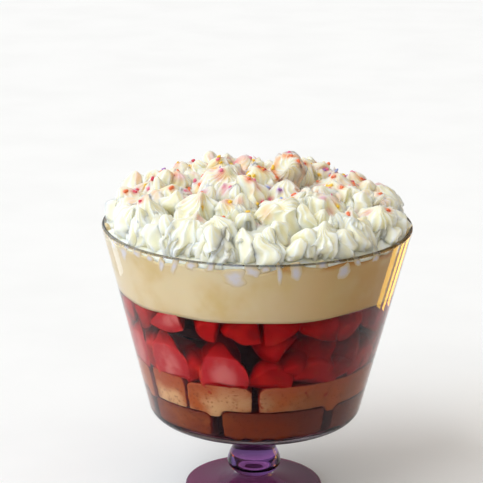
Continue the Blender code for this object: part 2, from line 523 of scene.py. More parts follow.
def fill_grain(wiring: Wiring, entry: bpy.types.Node, leave: bpy.types.Node) -> None:
    """Fine surface unevenness, a coarse wave with a fine one on it.

    Args:
        wiring: The group's own nodes.
        entry: The group's input node.
        leave: The group's output node.
    """
    coarse = wiring.add(
        "ShaderNodeTexNoise",
        {"Vector": entry.outputs["Place"], "Scale": entry.outputs["Coarse"], "Detail": 2.0},
    )
    fine = wiring.add(
        "ShaderNodeTexNoise",
        {"Vector": entry.outputs["Place"], "Scale": entry.outputs["Fine"], "Detail": 4.0},
    )
    lower = wiring.math("MULTIPLY", fine.outputs[0], entry.outputs["Fine Share"])
    height = wiring.math("ADD", coarse.outputs[0], lower)
    wiring.feed(leave, {"Height": height})


def fill_pores(wiring: Wiring, entry: bpy.types.Node, leave: bpy.types.Node) -> None:
    """Round holes of uneven size, as a mask of their insides and as a height.

    Args:
        wiring: The group's own nodes.
        entry: The group's input node.
        leave: The group's output node.
    """
    bend_by = 1.6 * MM
    sharp_share = 0.45
    bend = wiring.add(
        "ShaderNodeTexNoise",
        {"Vector": entry.outputs["Place"], "Scale": entry.outputs["Scale"], "Detail": 2.0},
    )
    shift = wiring.add(
        "ShaderNodeVectorMath",
        {0: bend.outputs[1], 1: (bend_by, bend_by, bend_by)},
        operation="MULTIPLY",
    )
    place = wiring.add(
        "ShaderNodeVectorMath",
        {0: entry.outputs["Place"], 1: shift.outputs[0]},
        operation="ADD",
    )
    cells = wiring.add(
        "ShaderNodeTexVoronoi", {"Vector": place.outputs[0], "Scale": entry.outputs["Scale"]}
    )
    size = wiring.math("MULTIPLY", bend.outputs[0], entry.outputs["Size"])
    edge = wiring.math("MULTIPLY", size, sharp_share)
    solid = wiring.ease(cells.outputs["Distance"], edge, size)
    hole = wiring.math("SUBTRACT", 1.0, solid)
    wiring.feed(leave, {"Mask": hole, "Height": solid})


def fill_band(wiring: Wiring, entry: bpy.types.Node, leave: bpy.types.Node) -> None:
    """A share that rises from 0 to 1 between two heights, with an uneven edge.

    Args:
        wiring: The group's own nodes.
        entry: The group's input node.
        leave: The group's output node.
    """
    split = wiring.add("ShaderNodeSeparateXYZ", {0: entry.outputs["Place"]})
    wave = wiring.add(
        "ShaderNodeTexNoise",
        {"Vector": entry.outputs["Place"], "Scale": entry.outputs["Scale"], "Detail": 2.0},
    )
    centred = wiring.math("SUBTRACT", wave.outputs[0], 0.5)
    lift = wiring.math("MULTIPLY", centred, entry.outputs["Uneven"])
    height = wiring.math("ADD", split.outputs["Z"], lift)
    mask = wiring.ease(height, entry.outputs["Low"], entry.outputs["High"])
    wiring.feed(leave, {"Mask": mask})


class Effects:
    """The shared shader groups."""

    def __init__(self) -> None:
        """Build each group once."""
        number, colour, vector = SocketKind.NUMBER, SocketKind.COLOUR, SocketKind.VECTOR
        place = ("Place", vector, None)
        self.mottle = new_group(
            "mottle",
            [
                place,
                ("Scale", number, 60.0),
                ("Low", number, 0.45),
                ("High", number, 0.6),
                ("First", colour, (1.0, 1.0, 1.0)),
                ("Second", colour, (0.0, 0.0, 0.0)),
            ],
            [("Colour", colour), ("Mask", number)],
            fill_mottle,
        )
        self.grain = new_group(
            "surface_grain",
            [
                place,
                ("Coarse", number, 200.0),
                ("Fine", number, 900.0),
                ("Fine Share", number, 0.4),
            ],
            [("Height", number)],
            fill_grain,
        )
        self.pores = new_group(
            "crumb_pores",
            [place, ("Scale", number, 400.0), ("Size", number, 0.9)],
            [("Mask", number), ("Height", number)],
            fill_pores,
        )
        self.band = new_group(
            "height_band",
            [
                place,
                ("Low", number, 0.0),
                ("High", number, 0.1),
                ("Scale", number, 60.0),
                ("Uneven", number, 0.0),
            ],
            [("Mask", number)],
            fill_band,
        )


class Finish(Wiring):
    """One material: its Principled shader and the shared effects placed in it."""

    def __init__(self, name: str, effects: Effects, **sockets: object) -> None:
        """Start the material.

        Args:
            name: The material's name.
            effects: The shared shader groups.
            sockets: Plain values for the shader, with underscores for spaces.
        """
        self.material = bpy.data.materials.new(name)
        self.material.use_nodes = True
        super().__init__(self.material.node_tree)
        self.effects = effects
        self.shader = self.tree.nodes["Principled BSDF"]
        self.output = self.tree.nodes["Material Output"]
        self.set(**sockets)
        self.place = self.add("ShaderNodeTexCoord").outputs["Object"]

    def set(self, **sockets: object) -> None:
        """Set the shader's own sockets, with underscores for spaces in their names."""
        self.feed(self.shader, {name.replace("_", " "): value for name, value in sockets.items()})

    def effect(self, group: bpy.types.NodeTree, **values: object) -> bpy.types.Node:
        """Place a shared effect with its own values, and give its node.

        Args:
            group: The effect's group.
            values: The effect's inputs, with underscores for spaces.

        Returns:
            The effect's node.
        """
        node = self.add("ShaderNodeGroup", node_tree=group)
        named = {name.replace("_", " "): value for name, value in values.items()}
        self.feed(node, {"Place": self.place, **named})
        return node

    def mottled(
        self, first: object, second: object, scale: float, low: float, high: float
    ) -> bpy.types.NodeSocket:
        """Lay patches of a second colour over a first.

        Args:
            first: The colour between the patches.
            second: The patches' colour.
            scale: How fine the patches are.
            low: Noise value where a patch starts.
            high: Noise value where a patch is full.

        Returns:
            The mixed colour's socket.
        """
        node = self.effect(
            self.effects.mottle, First=first, Second=second, Scale=scale, Low=low, High=high
        )
        return node.outputs["Colour"]

    def bump(self, height: bpy.types.NodeSocket, distance: float, strength: float = 1.0) -> None:
        """Feed a height through a Bump node to the shader's normal.

        Args:
            height: The height's socket.
            distance: How far a height of 1 stands out.
            strength: How strongly it shows.
        """
        node = self.add(
            "ShaderNodeBump", {"Height": height, "Distance": distance, "Strength": strength}
        )
        self.set(Normal=node.outputs["Normal"])

    def pass_lamps(self, tint: Colour) -> None:
        """Let lamps shine through, so that what is behind the surface is lit.

        Args:
            tint: The colour that the light takes on.
        """
        rays = self.add("ShaderNodeLightPath")
        clear = self.add("ShaderNodeBsdfTransparent", {"Color": tint})
        mixed = self.add(
            "ShaderNodeMixShader",
            {0: rays.outputs["Is Shadow Ray"], 1: self.shader.outputs[0], 2: clear.outputs[0]},
        )
        self.feed(self.output, {"Surface": mixed.outputs[0]})


# --------------------------------------------------------------------------------------
# Finishes
# --------------------------------------------------------------------------------------


@dataclass(frozen=True)
class GlassFinish:
    """Clear bowl glass, with a darker lip as a painted reflection of dark surroundings, and a
    purple corner and stem and a wine foot as a painted reflection of a purple cloth seen through
    the glass.
    """

    clear: Colour = (0.985, 0.99, 0.99)
    # lip: painted dark reflection of the surroundings along the rim.
    lip: Colour = paint("6d788c")
    # stem, foot and corner: painted reflection of a purple cloth seen through the clear glass.
    stem: Colour = paint("7c5a96")
    foot: Colour = paint("98286a")
    corner: Colour = paint("6a5476")
    shine: Colour = (0.085, 0.065, 0.10)
    lit_through: Colour = (0.93, 0.95, 0.95)
    lip_depth: float = 1.5 * MM
    foot_fade: tuple[float, float] = (6 * MM, 20 * MM)
    under_fade: float = 8 * MM
    corner_fade: tuple[float, float] = (1 * MM, 9 * MM)

    def make(self, effects: Effects, outline: BowlOutline) -> bpy.types.Material:
        """Build the material.

        Args:
            effects: The shared shader groups.
            outline: The bowl's outline, for where the painted tints lie.

        Returns:
            The material.
        """
        finish = Finish(
            "clear_glass",
            effects,
            Roughness=0.0,
            IOR=1.5,
            Transmission_Weight=1.0,
            Specular_Tint=self.shine,
        )
        # Painted reflection: this band darkens the rim's lip.
        lip = finish.effect(
            effects.band,
            Low=outline.rim_height - self.lip_depth,
            High=outline.rim_height - 0.4 * self.lip_depth,
        )
        # Painted reflection of a purple cloth: the stem's and the foot's colours.
        foot_low, foot_high = self.foot_fade
        low = finish.effect(effects.band, Low=foot_low, High=foot_high)
        stem = finish.blend(low.outputs["Mask"], self.foot, self.stem)
        bottom = outline.bottom
        # The same painted reflection darkens the bowl's lower corner.
        under = finish.effect(effects.band, Low=bottom - self.under_fade, High=bottom)
        based = finish.blend(under.outputs["Mask"], stem, self.corner)
        corner_low, corner_high = self.corner_fade
        body = finish.effect(effects.band, Low=bottom + corner_low, High=bottom + corner_high)
        cloth_reflected = finish.blend(body.outputs["Mask"], based, self.clear)
        finish.set(Base_Color=finish.blend(lip.outputs["Mask"], cloth_reflected, self.lip))
        grain = finish.effect(effects.grain, Coarse=14.0, Fine=60.0, Fine_Share=0.15)
        finish.bump(grain.outputs["Height"], 0.4 * MM, 0.12)
        finish.pass_lamps(self.lit_through)
        return finish.material


@dataclass(frozen=True)
class JellyFinish:
    """Clear dark red jelly, darker with depth."""

    face: Colour = (0.86, 0.30, 0.30)
    clouded: Colour = paint("c8707a")
    kept: Colour = (0.90, 0.0, 0.05)
    density: float = 320.0
    shine: Colour = (0.04, 0.02, 0.02)
    lit_through: Colour = (0.95, 0.55, 0.55)

    def make(self, effects: Effects) -> bpy.types.Material:
        """Build the material, with its depth colour as an absorbing volume.

        Args:
            effects: The shared shader groups.

        Returns:
            The material.
        """
        finish = Finish(
            "strawberry_jelly",
            effects,
            Roughness=0.04,
            IOR=1.34,
            Transmission_Weight=1.0,
            Specular_Tint=self.shine,
        )
        finish.set(Base_Color=finish.mottled(self.face, self.clouded, 90.0, 0.5, 0.75))
        depth = finish.add(
            "ShaderNodeVolumeAbsorption", {"Color": self.kept, "Density": self.density}
        )
        finish.pass_lamps(self.lit_through)
        finish.feed(finish.output, {"Volume": depth.outputs[0]})
        return finish.material


@dataclass(frozen=True)
class SpongeFinish:
    """Open crumb with painted shade in its holes and painted shade darker to the right, stained
    where jelly has soaked in.
    """

    name: str
    light: Colour
    # dark: the crumb's painted shade on the right, and the colour of the small speckles.
    dark: Colour
    soaked: Colour
    # The holes' colour is painted shade inside them.
    pore_shade: Colour
    stain: Colour
    roughness: float
    shine: float
    pore_scale: float = 340.0
    pore_size: float = 0.66
    pore_share: float = 0.48
    stain_share: float = 0.75
    # left_side and right_side bound the painted shade that darkens the crumb towards the right.
    left_side: float = -70 * MM
    right_side: float = 55 * MM

    def make(self, effects: Effects, stain_low: float, stain_high: float) -> bpy.types.Material:
        """Build the material.

        Args:
            effects: The shared shader groups.
            stain_low: Height where the staining starts.
            stain_high: Height where the staining is full.

        Returns:
            The material.
        """
        finish = Finish(
            self.name,
            effects,
            Roughness=self.roughness,
            Specular_IOR_Level=self.shine,
            Subsurface_Weight=0.12,
            Subsurface_Radius=(1.0, 0.4, 0.2),
            Subsurface_Scale=2.0 * MM,
        )
        split = finish.add("ShaderNodeSeparateXYZ", {0: finish.place})
        # Painted shade: the crumb runs from the light colour on the left to the dark one on the
        # right.
        side = finish.ease(split.outputs["X"], self.left_side, self.right_side)
        side_shaded = finish.blend(side, self.light, self.dark)
        crumb = finish.mottled(side_shaded, self.soaked, 24.0, 0.36, 0.58)
        speckled = finish.mottled(crumb, self.dark, 150.0, 0.48, 0.95)
        stain = finish.effect(
            effects.band, Low=stain_low, High=stain_high, Scale=34.0, Uneven=8 * MM
        )
        stained = finish.math("MULTIPLY", stain.outputs["Mask"], self.stain_share)
        soaked = finish.blend(stained, speckled, self.stain)
        # Painted shade: the holes' insides are darkened.
        pores = finish.effect(effects.pores, Scale=self.pore_scale, Size=self.pore_size)
        dark = finish.math("MULTIPLY", pores.outputs["Mask"], self.pore_share)
        finish.set(Base_Color=finish.blend(dark, soaked, self.pore_shade))
        finish.bump(pores.outputs["Height"], 0.5 * MM, 0.5)
        return finish.material


@dataclass(frozen=True)
class CustardFinish:
    """Smooth set custard, with painted warm shade that darkens it to the right, and patches of
    painted warm shade where its edge meets the cream.
    """

    body: Colour = paint("e0ceaa")
    # Painted warm shade: the custard turns darker and more orange towards the right.
    right_warm_shade: Colour = paint("cc9c46")
    deep: Colour = paint("d6bc86")
    # Painted warm shade in the gaps where the custard's top meets the cream.
    gap_shade: Colour = paint("bc7a22")
    gap_shade_share: float = 0.8
    gap_shade_band: tuple[float, float] = (5.0 * MM, 1.0 * MM)
    warm_shade_reach: tuple[float, float] = (-30 * MM, 110 * MM)
    gap_shade_reach: tuple[float, float] = (-45 * MM, 15 * MM)

    def make(self, effects: Effects, top: float) -> bpy.types.Material:
        """Build the material.

        Args:
            effects: The shared shader groups.
            top: Height of the custard's top at the glass.

        Returns:
            The material.
        """
        finish = Finish(
            "custard",
            effects,
            Roughness=0.45,
            Specular_IOR_Level=0.15,
            Subsurface_Weight=0.35,
            Subsurface_Radius=(1.0, 0.7, 0.35),
            Subsurface_Scale=3.0 * MM,
        )
        split = finish.add("ShaderNodeSeparateXYZ", {0: finish.place})
        # Painted warm shade, growing towards the right.
        right_shade = finish.ease(split.outputs["X"], *self.warm_shade_reach)
        plain = finish.blend(right_shade, self.body, self.right_warm_shade)
        body = finish.mottled(plain, self.deep, 38.0, 0.42, 0.75)
        # Painted warm shade in patches on the right, just under the custard's top where the cream
        # leaves gaps.
        deep, shallow = self.gap_shade_band
        edge = finish.effect(
            effects.band, Low=top - deep, High=top - shallow, Scale=55.0, Uneven=7 * MM
        )
        right = finish.ease(split.outputs["X"], *self.gap_shade_reach)
        gap_shade_patches = finish.effect(effects.mottle, Scale=34.0, Low=0.40, High=0.58)
        patchy_right_shade = finish.math("MULTIPLY", right, gap_shade_patches.outputs["Mask"])
        share = finish.math("MULTIPLY", patchy_right_shade, self.gap_shade_share)
        gap_shade = finish.math("MULTIPLY", edge.outputs["Mask"], share)
        finish.set(Base_Color=finish.blend(gap_shade, body, self.gap_shade))
        grain = finish.effect(effects.grain, Coarse=70.0, Fine=600.0, Fine_Share=0.12)
        finish.bump(grain.outputs["Height"], 0.6 * MM, 0.25)
        return finish.material


@dataclass(frozen=True)
class CreamFinish:
    """Whipped cream with fine bubbles, painted yellow shade in its valleys, bled colour from the
    sprinkles and a painted ring of warm light on the top rosette.
    """

    white: Colour = paint("f0f5ef")
    warm: Colour = paint("efebd4")
    # valley: painted yellow shade in the cream's grooves and folds.
    valley: Colour = paint("efe6b6")
    valley_share: float = 0.6
    mark: str = "valley"
    dye_and_glow_mark: str = "dye_and_glow"

    def make(self, effects: Effects) -> bpy.types.Material:
        """Build the material, which reads the valleys' mark, for painted shade, and the mark of the
        sprinkles' bled colour and painted warm light.

        Args:
            effects: The shared shader groups.

        Returns:
            The material.
        """
        finish = Finish(
            "whipped_cream",
            effects,
            Roughness=0.5,
            Specular_IOR_Level=0.3,
            Subsurface_Weight=0.75,
            Subsurface_Radius=(1.0, 0.92, 0.72),
            Subsurface_Scale=9.0 * MM,
        )
        body = finish.mottled(self.white, self.warm, 95.0, 0.42, 0.72)
        # The valley mark paints the grooves and folds yellower, as painted shade.
        deep = finish.add("ShaderNodeAttribute", attribute_name=self.mark).outputs["Fac"]
        share = finish.math("MULTIPLY", deep, self.valley_share)
        grooved = finish.blend(share, body, self.valley)
        # This mark holds the sprinkles' bled colour and a painted ring of warm light round the top
        # rosette.
        dye_and_glow = finish.add("ShaderNodeAttribute", attribute_name=self.dye_and_glow_mark)
        finish.set(Base_Color=finish.blend(dye_and_glow.outputs["Alpha"], grooved, dye_and_glow.outputs["Color"]))
        grain = finish.effect(effects.grain, Coarse=480.0, Fine=1600.0, Fine_Share=0.5)
        finish.bump(grain.outputs["Height"], 0.25 * MM, 0.6)
        return finish.material


@dataclass(frozen=True)
class FilmFinish:
    """Thin cream on the glass, fading into the custard at its edges, in a lavender grey that is
    painted shade and painted sky reflection.
    """

    custard: Colour = paint("dec99e")
    # film: the cream's colour with painted shade and a painted bluish sky reflection.
    film: Colour = paint("ddd8e0")
    mark: str = "film"

    def make(self, effects: Effects) -> bpy.types.Material:
        """Build the material, which reads how thick the film is.

        Args:
            effects: The shared shader groups.

        Returns:
            The material.
        """
        finish = Finish("cream_film", effects, Roughness=0.5, Specular_IOR_Level=0.15)
        thick = finish.add("ShaderNodeAttribute", attribute_name=self.mark).outputs["Fac"]
        patch = finish.effect(effects.mottle, Scale=160.0, Low=0.3, High=0.7)
        uneven = finish.math("MULTIPLY", patch.outputs["Mask"], 0.5)
        share = finish.ease(finish.math("ADD", thick, uneven), 0.25, 1.40)
        # The lavender grey is painted shade and painted reflection on the cream.
        finish.set(Base_Color=finish.blend(share, self.custard, self.film))
        grain = finish.effect(effects.grain, Coarse=200.0, Fine=900.0, Fine_Share=0.3)
        finish.bump(grain.outputs["Height"], 0.2 * MM, 0.3)
        return finish.material


@dataclass(frozen=True)
class BerryFinish:
    """Cut strawberry: shiny seeded skin with painted orange-red highlight patches, and a pale core
    on the cut side.
    """

    skin: Colour = paint("c6161a")
    dark_skin: Colour = paint("9c0e12")
    # Painted highlight: orange-red patches on the skin.
    highlight_patch: Colour = paint("da4030")
    flesh: Colour = paint("b82028")
    core: Colour = paint("d0706c")
    seed: Colour = paint("c06a30")
    mark: str = "cut_depth"

    def make(self, effects: Effects) -> bpy.types.Material:
        """Build the material, which reads how deep in the cut face a point lies.

        Args:
            effects: The shared shader groups.

        Returns:
            The material.
        """
        finish = Finish(
            "strawberry",
            effects,
            Roughness=0.35,
            Specular_IOR_Level=0.15,
            Subsurface_Weight=0.25,
            Subsurface_Radius=(1.0, 0.25, 0.15),
            Subsurface_Scale=2.5 * MM,
        )
        depth = finish.add("ShaderNodeAttribute", attribute_name=self.mark).outputs["Fac"]
        # Painted highlight: orange-red patches stand in for glints of light on the skin.
        highlighted_skin = finish.mottled(self.skin, self.highlight_patch, 48.0, 0.50, 0.72)
        skin = finish.mottled(highlighted_skin, self.dark_skin, 75.0, 0.45, 0.68)
        flesh = finish.mottled(self.flesh, self.skin, 260.0, 0.5, 0.8)
        rind = finish.blend(finish.ease(depth, 0.02, 0.30), skin, flesh)
        heart = finish.effect(effects.mottle, Scale=110.0, Low=0.22, High=0.58)
        pale = finish.math("MULTIPLY", finish.ease(depth, 0.46, 1.12), heart.outputs["Mask"])
        meat = finish.blend(pale, rind, self.core)
        seeds = finish.effect(effects.pores, Scale=330.0, Size=0.42)
        on_skin = finish.math("SUBTRACT", 1.0, finish.ease(depth, 0.0, 0.05))
        seed = finish.math("MULTIPLY", seeds.outputs["Mask"], on_skin)
        finish.set(Base_Color=finish.blend(seed, meat, self.seed))
        finish.bump(seeds.outputs["Height"], 0.5 * MM, 0.5)
        return finish.material


@dataclass(frozen=True)
class SprinkleFinish:
    """Glossy sugar strand of one colour, a little uneven."""

    colour: Colour

    def make(self, effects: Effects, name: str) -> bpy.types.Material:
        """Build the material under a name.

        Args:
            effects: The shared shader groups.
            name: The material's name.

        Returns:
            The material.
        """
        finish = Finish(
            name,
            effects,
            Roughness=0.35,
            Subsurface_Weight=0.15,
            Subsurface_Radius=(1.0, 0.6, 0.6),
            Subsurface_Scale=0.6 * MM,
        )
        pale = tuple(0.55 * part + 0.42 for part in self.colour)
        finish.set(Base_Color=finish.mottled(self.colour, pale, 700.0, 0.55, 0.9))
        grain = finish.effect(effects.grain, Coarse=1500.0, Fine=4000.0, Fine_Share=0.4)
        finish.bump(grain.outputs["Height"], 0.1 * MM, 0.5)
        return finish.material


class SprinkleKind(Enum):
    """The sprinkles' colours, each with its share of them all."""

    ORANGE = ("f07a4a", 0.24)
    PINK = ("ea7898", 0.24)
    RED = ("d84058", 0.13)
    YELLOW = ("f2c83c", 0.25)
    PURPLE = ("a878be", 0.09)
    BLUE = ("9aa8dc", 0.05)


# --------------------------------------------------------------------------------------
# The trifle's sub-assemblies
# --------------------------------------------------------------------------------------


@dataclass
class GlassBowl:
    """The turned glass bowl with its stem, knop and foot."""

    outline: BowlOutline
    steps: int = 160

    def build(self, effects: Effects) -> bpy.types.Object:
        """Turn the glass and dress it.

        Args:
            effects: The shared shader groups.

        Returns:
            The new piece.
        """
        skin = Skin()
        skin.add_turned(self.outline.glass(), self.steps)
        mesh = skin.to_mesh("glass")
        material = GlassFinish().make(effects, self.outline)
        return place_piece("glass", mesh, [material], "clear_glass", ["glass_bowl"])


@dataclass
class Jelly:
    """The jelly round the sponge and above it, just into the glass wall."""

    outline: BowlOutline
    reach: float = 0.2 * MM
    steps: int = 128
    node: str = "strawberry_jelly"

    def build(self, effects: Effects) -> bpy.types.Object:
        """Turn the jelly, from the floor up into the custard's underside.

        Args:
            effects: The shared shader groups.

        Returns:
            The new piece.
        """
        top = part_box(self.node)[1].z + 1.2 * MM
        outline = self.outline
        centre, height = outline.inner_turn(outline.inner_corner)
        rounding = outline.inner_corner + self.reach
        turn = outline.arc((centre, height), rounding, -outline.lean, -math.pi / 2, 6)
        side = [(outline.inner(z) + self.reach, z) for z in np.linspace(top, height, 10)]
        skin = Skin()
        skin.add_turned([(0.0, top), *side, *turn, (0.0, turn[-1][1])], self.steps)
        mesh = skin.to_mesh("jelly")
        return place_piece("jelly", mesh, [JellyFinish().make(effects)], self.node, [self.node])


@dataclass
class Custard:
    """The custard, with slightly uneven edges where it meets the jelly and the cream."""

    outline: BowlOutline
    rng: np.random.Generator
    reach: float = 0.32 * MM
    steps: int = 144
    levels: int = 18
    edge_rise: float = 3.0 * MM
    under_shares: tuple[float, ...] = (0.35, 0.7, 0.93)
    top_shares: tuple[float, ...] = (0.97, 0.8, 0.4)
    node: str = "custard"

    def build(self, effects: Effects) -> bpy.types.Object:
        """Turn the custard, then lift and lower its edges a little.

        Args:
            effects: The shared shader groups.

        Returns:
            The new piece.
        """
        low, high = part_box(self.node)
        angles = np.linspace(0, math.tau, self.steps, endpoint=False)
        circle = np.stack([np.cos(angles), np.sin(angles), np.zeros_like(angles)], axis=-1)
        round_points = circle * 0.1
        bottom = low.z + 0.7 * MM * Ripple(self.rng, 60 * MM)(round_points)
        top = high.z + self.edge_rise + 1.1 * MM * Ripple(self.rng, 26 * MM)(round_points)
        flat = np.full(self.steps, high.z)
        rings = [self.ring(angles, share, bottom) for share in self.under_shares]
        for rise in np.linspace(0, 1, self.levels):
            rings.append(self.ring(angles, 1.0, bottom + (top - bottom) * rise))
        rings.extend(self.ring(angles, share, flat) for share in self.top_shares)
        skin = Skin()
        middle = rings[-1][:, 2].mean()
        skin.add_rings(np.array(rings), np.array([0, 0, low.z]), np.array([0, 0, middle]))
        mesh = skin.to_mesh("custard")
        material = CustardFinish().make(effects, high.z + self.edge_rise)
        return place_piece("custard_layer", mesh, [material], "custard", [self.node])

    def ring(self, angles: Array, share: float, heights: Array) -> Array:
        """One ring at a share of the wall's radius.

        Args:
            angles: Directions of its points.
            share: Share of the radius that fills the bowl.
            heights: Height of each point.

        Returns:
            The ring's points.
        """
        radius = (self.outline.inner(heights) + self.reach) * share
        return np.stack([radius * np.cos(angles), radius * np.sin(angles), heights], axis=-1)


@dataclass
class SpongeTier:
    """One tier of sponge pieces, softened and roughened from the frame's solids.

    closed holds the azimuths of joints that were laid touching, and closing is how far each side
    of such a joint is turned, both in degrees.
    """

    outline: BowlOutline
    rng: np.random.Generator
    node_prefix: str
    slot: str
    finish: SpongeFinish
    closed: tuple[float, ...] = ()
    closing: float = 1.35
    voxel: float = 1.3 * MM
    roughness: float = 0.30 * MM
    reach: float = 0.5 * MM
    wall_start: float = 2.2 * MM
    wall_fade: float = 1.4 * MM

    def build(self, effects: Effects) -> list[bpy.types.Object]:
        """Make every piece of the tier.

        Args:
            effects: The shared shader groups.

        Returns:
            The new pieces.
        """
        names = sorted(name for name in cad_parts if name.startswith(self.node_prefix))
        tops = [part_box(name)[1].z for name in names]
        bottoms = [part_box(name)[0].z for name in names]
        material = self.finish.make(effects, min(bottoms) + 11 * MM, max(tops) + 1 * MM)
        return [self.piece(name, material) for name in names]

    def piece(self, name: str, material: bpy.types.Material) -> bpy.types.Object:
        """Soften one solid, then pit its crumb.

        Args:
            name: The frame's node.
            material: The tier's material.

        Returns:
            The new piece.
        """
        mesh = self.remeshed(name)
        points = np.empty(len(mesh.vertices) * 3, np.float32)
        mesh.vertices.foreach_get("co", points)
        points = self.drawn_together(points.reshape(-1, 3).astype(float))
        normals = np.empty(len(mesh.vertices) * 3, np.float32)
        mesh.vertices.foreach_get("normal", normals)
        normals = normals.reshape(-1, 3)
        radius = np.hypot(points[:, 0], points[:, 1])
        to_wall = radius - self.outline.inner(points[:, 2]) + self.wall_start
        wall = smooth(to_wall / self.wall_fade)
        pits = np.maximum(Ripple(self.rng, 6 * MM, 14)(points) - 0.55, 0.0)
        lumps = Ripple(self.rng, 13 * MM)(points)
        raised = 0.35 * MM * lumps - 1.3 * self.roughness * pits
        points += normals * raised[:, None] * (1 - wall)[:, None]
        pushed = self.outline.inner(points[:, 2]) + self.reach
        pushed -= 0.45 * self.roughness * pits + 0.08 * MM * np.maximum(lumps, 0)
        target = radius + (pushed - radius) * wall
        points[:, :2] *= (target / np.maximum(radius, 1e-6))[:, None]
        mesh.vertices.foreach_set("co", points.astype(np.float32).reshape(-1))
        mesh.shade_smooth()
        mesh.update()
        return place_piece(f"{name}_crumb", mesh, [material], self.slot, [name])

    def drawn_together(self, points: Array) -> Array:
        """Draw the pieces' sides together where two of them were laid touching.

        Args:
            points: A piece's points.

        Returns:
            The points, turned a little about the middle near each closed joint.
        """
        azimuth = np.degrees(np.arctan2(points[:, 0], -points[:, 1]))
        turn = np.zeros(len(points))
        for joint in self.closed:
            away = (azimuth - joint + 180) % 360 - 180
            turn -= np.sign(away) * self.closing * smooth((9 - np.abs(away)) / 8)
        angle = np.radians(azimuth + turn)
        radius = np.hypot(points[:, 0], points[:, 1])
        return np.stack([radius * np.sin(angle), -radius * np.cos(angle), points[:, 2]], axis=-1)

    def remeshed(self, name: str) -> bpy.types.Mesh:
        """Remesh a copy of a node's solid evenly and round its edges.

        Args:
            name: The frame's node.

        Returns:
            The new mesh.
        """
        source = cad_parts[name]
        copy = bpy.data.objects.new(f"{name}_rough", source.data.copy())
        copy.data.materials.clear()
        bpy.context.scene.collection.objects.link(copy)
        remesh = copy.modifiers.new("Even", "REMESH")
        remesh.mode = "VOXEL"
        remesh.voxel_size = self.voxel
        soften = copy.modifiers.new("Soften", "SMOOTH")
        soften.factor = 0.5
        soften.iterations = 4
        graph = bpy.context.evaluated_depsgraph_get()
        mesh = bpy.data.meshes.new_from_object(copy.evaluated_get(graph))
        bpy.data.objects.remove(copy, do_unlink=True)
        return mesh


class BerryFace(Enum):
    """Which side of a cut berry is turned to the glass."""

    CUT = -1.0
    SKIN = 1.0


@dataclass(frozen=True)
class Berry:
    """One strawberry half in the jelly.

    azimuth is in degrees from the front, to the right. drop is how far its middle lies under the
    custard, in millimetres like its length and width. tilt turns the tip from straight up, to
    the right.
    """

    azimuth: float
    drop: float
    length: float
    width: float
    tilt: float
    face: BerryFace = BerryFace.CUT
    inward: float = 0.0


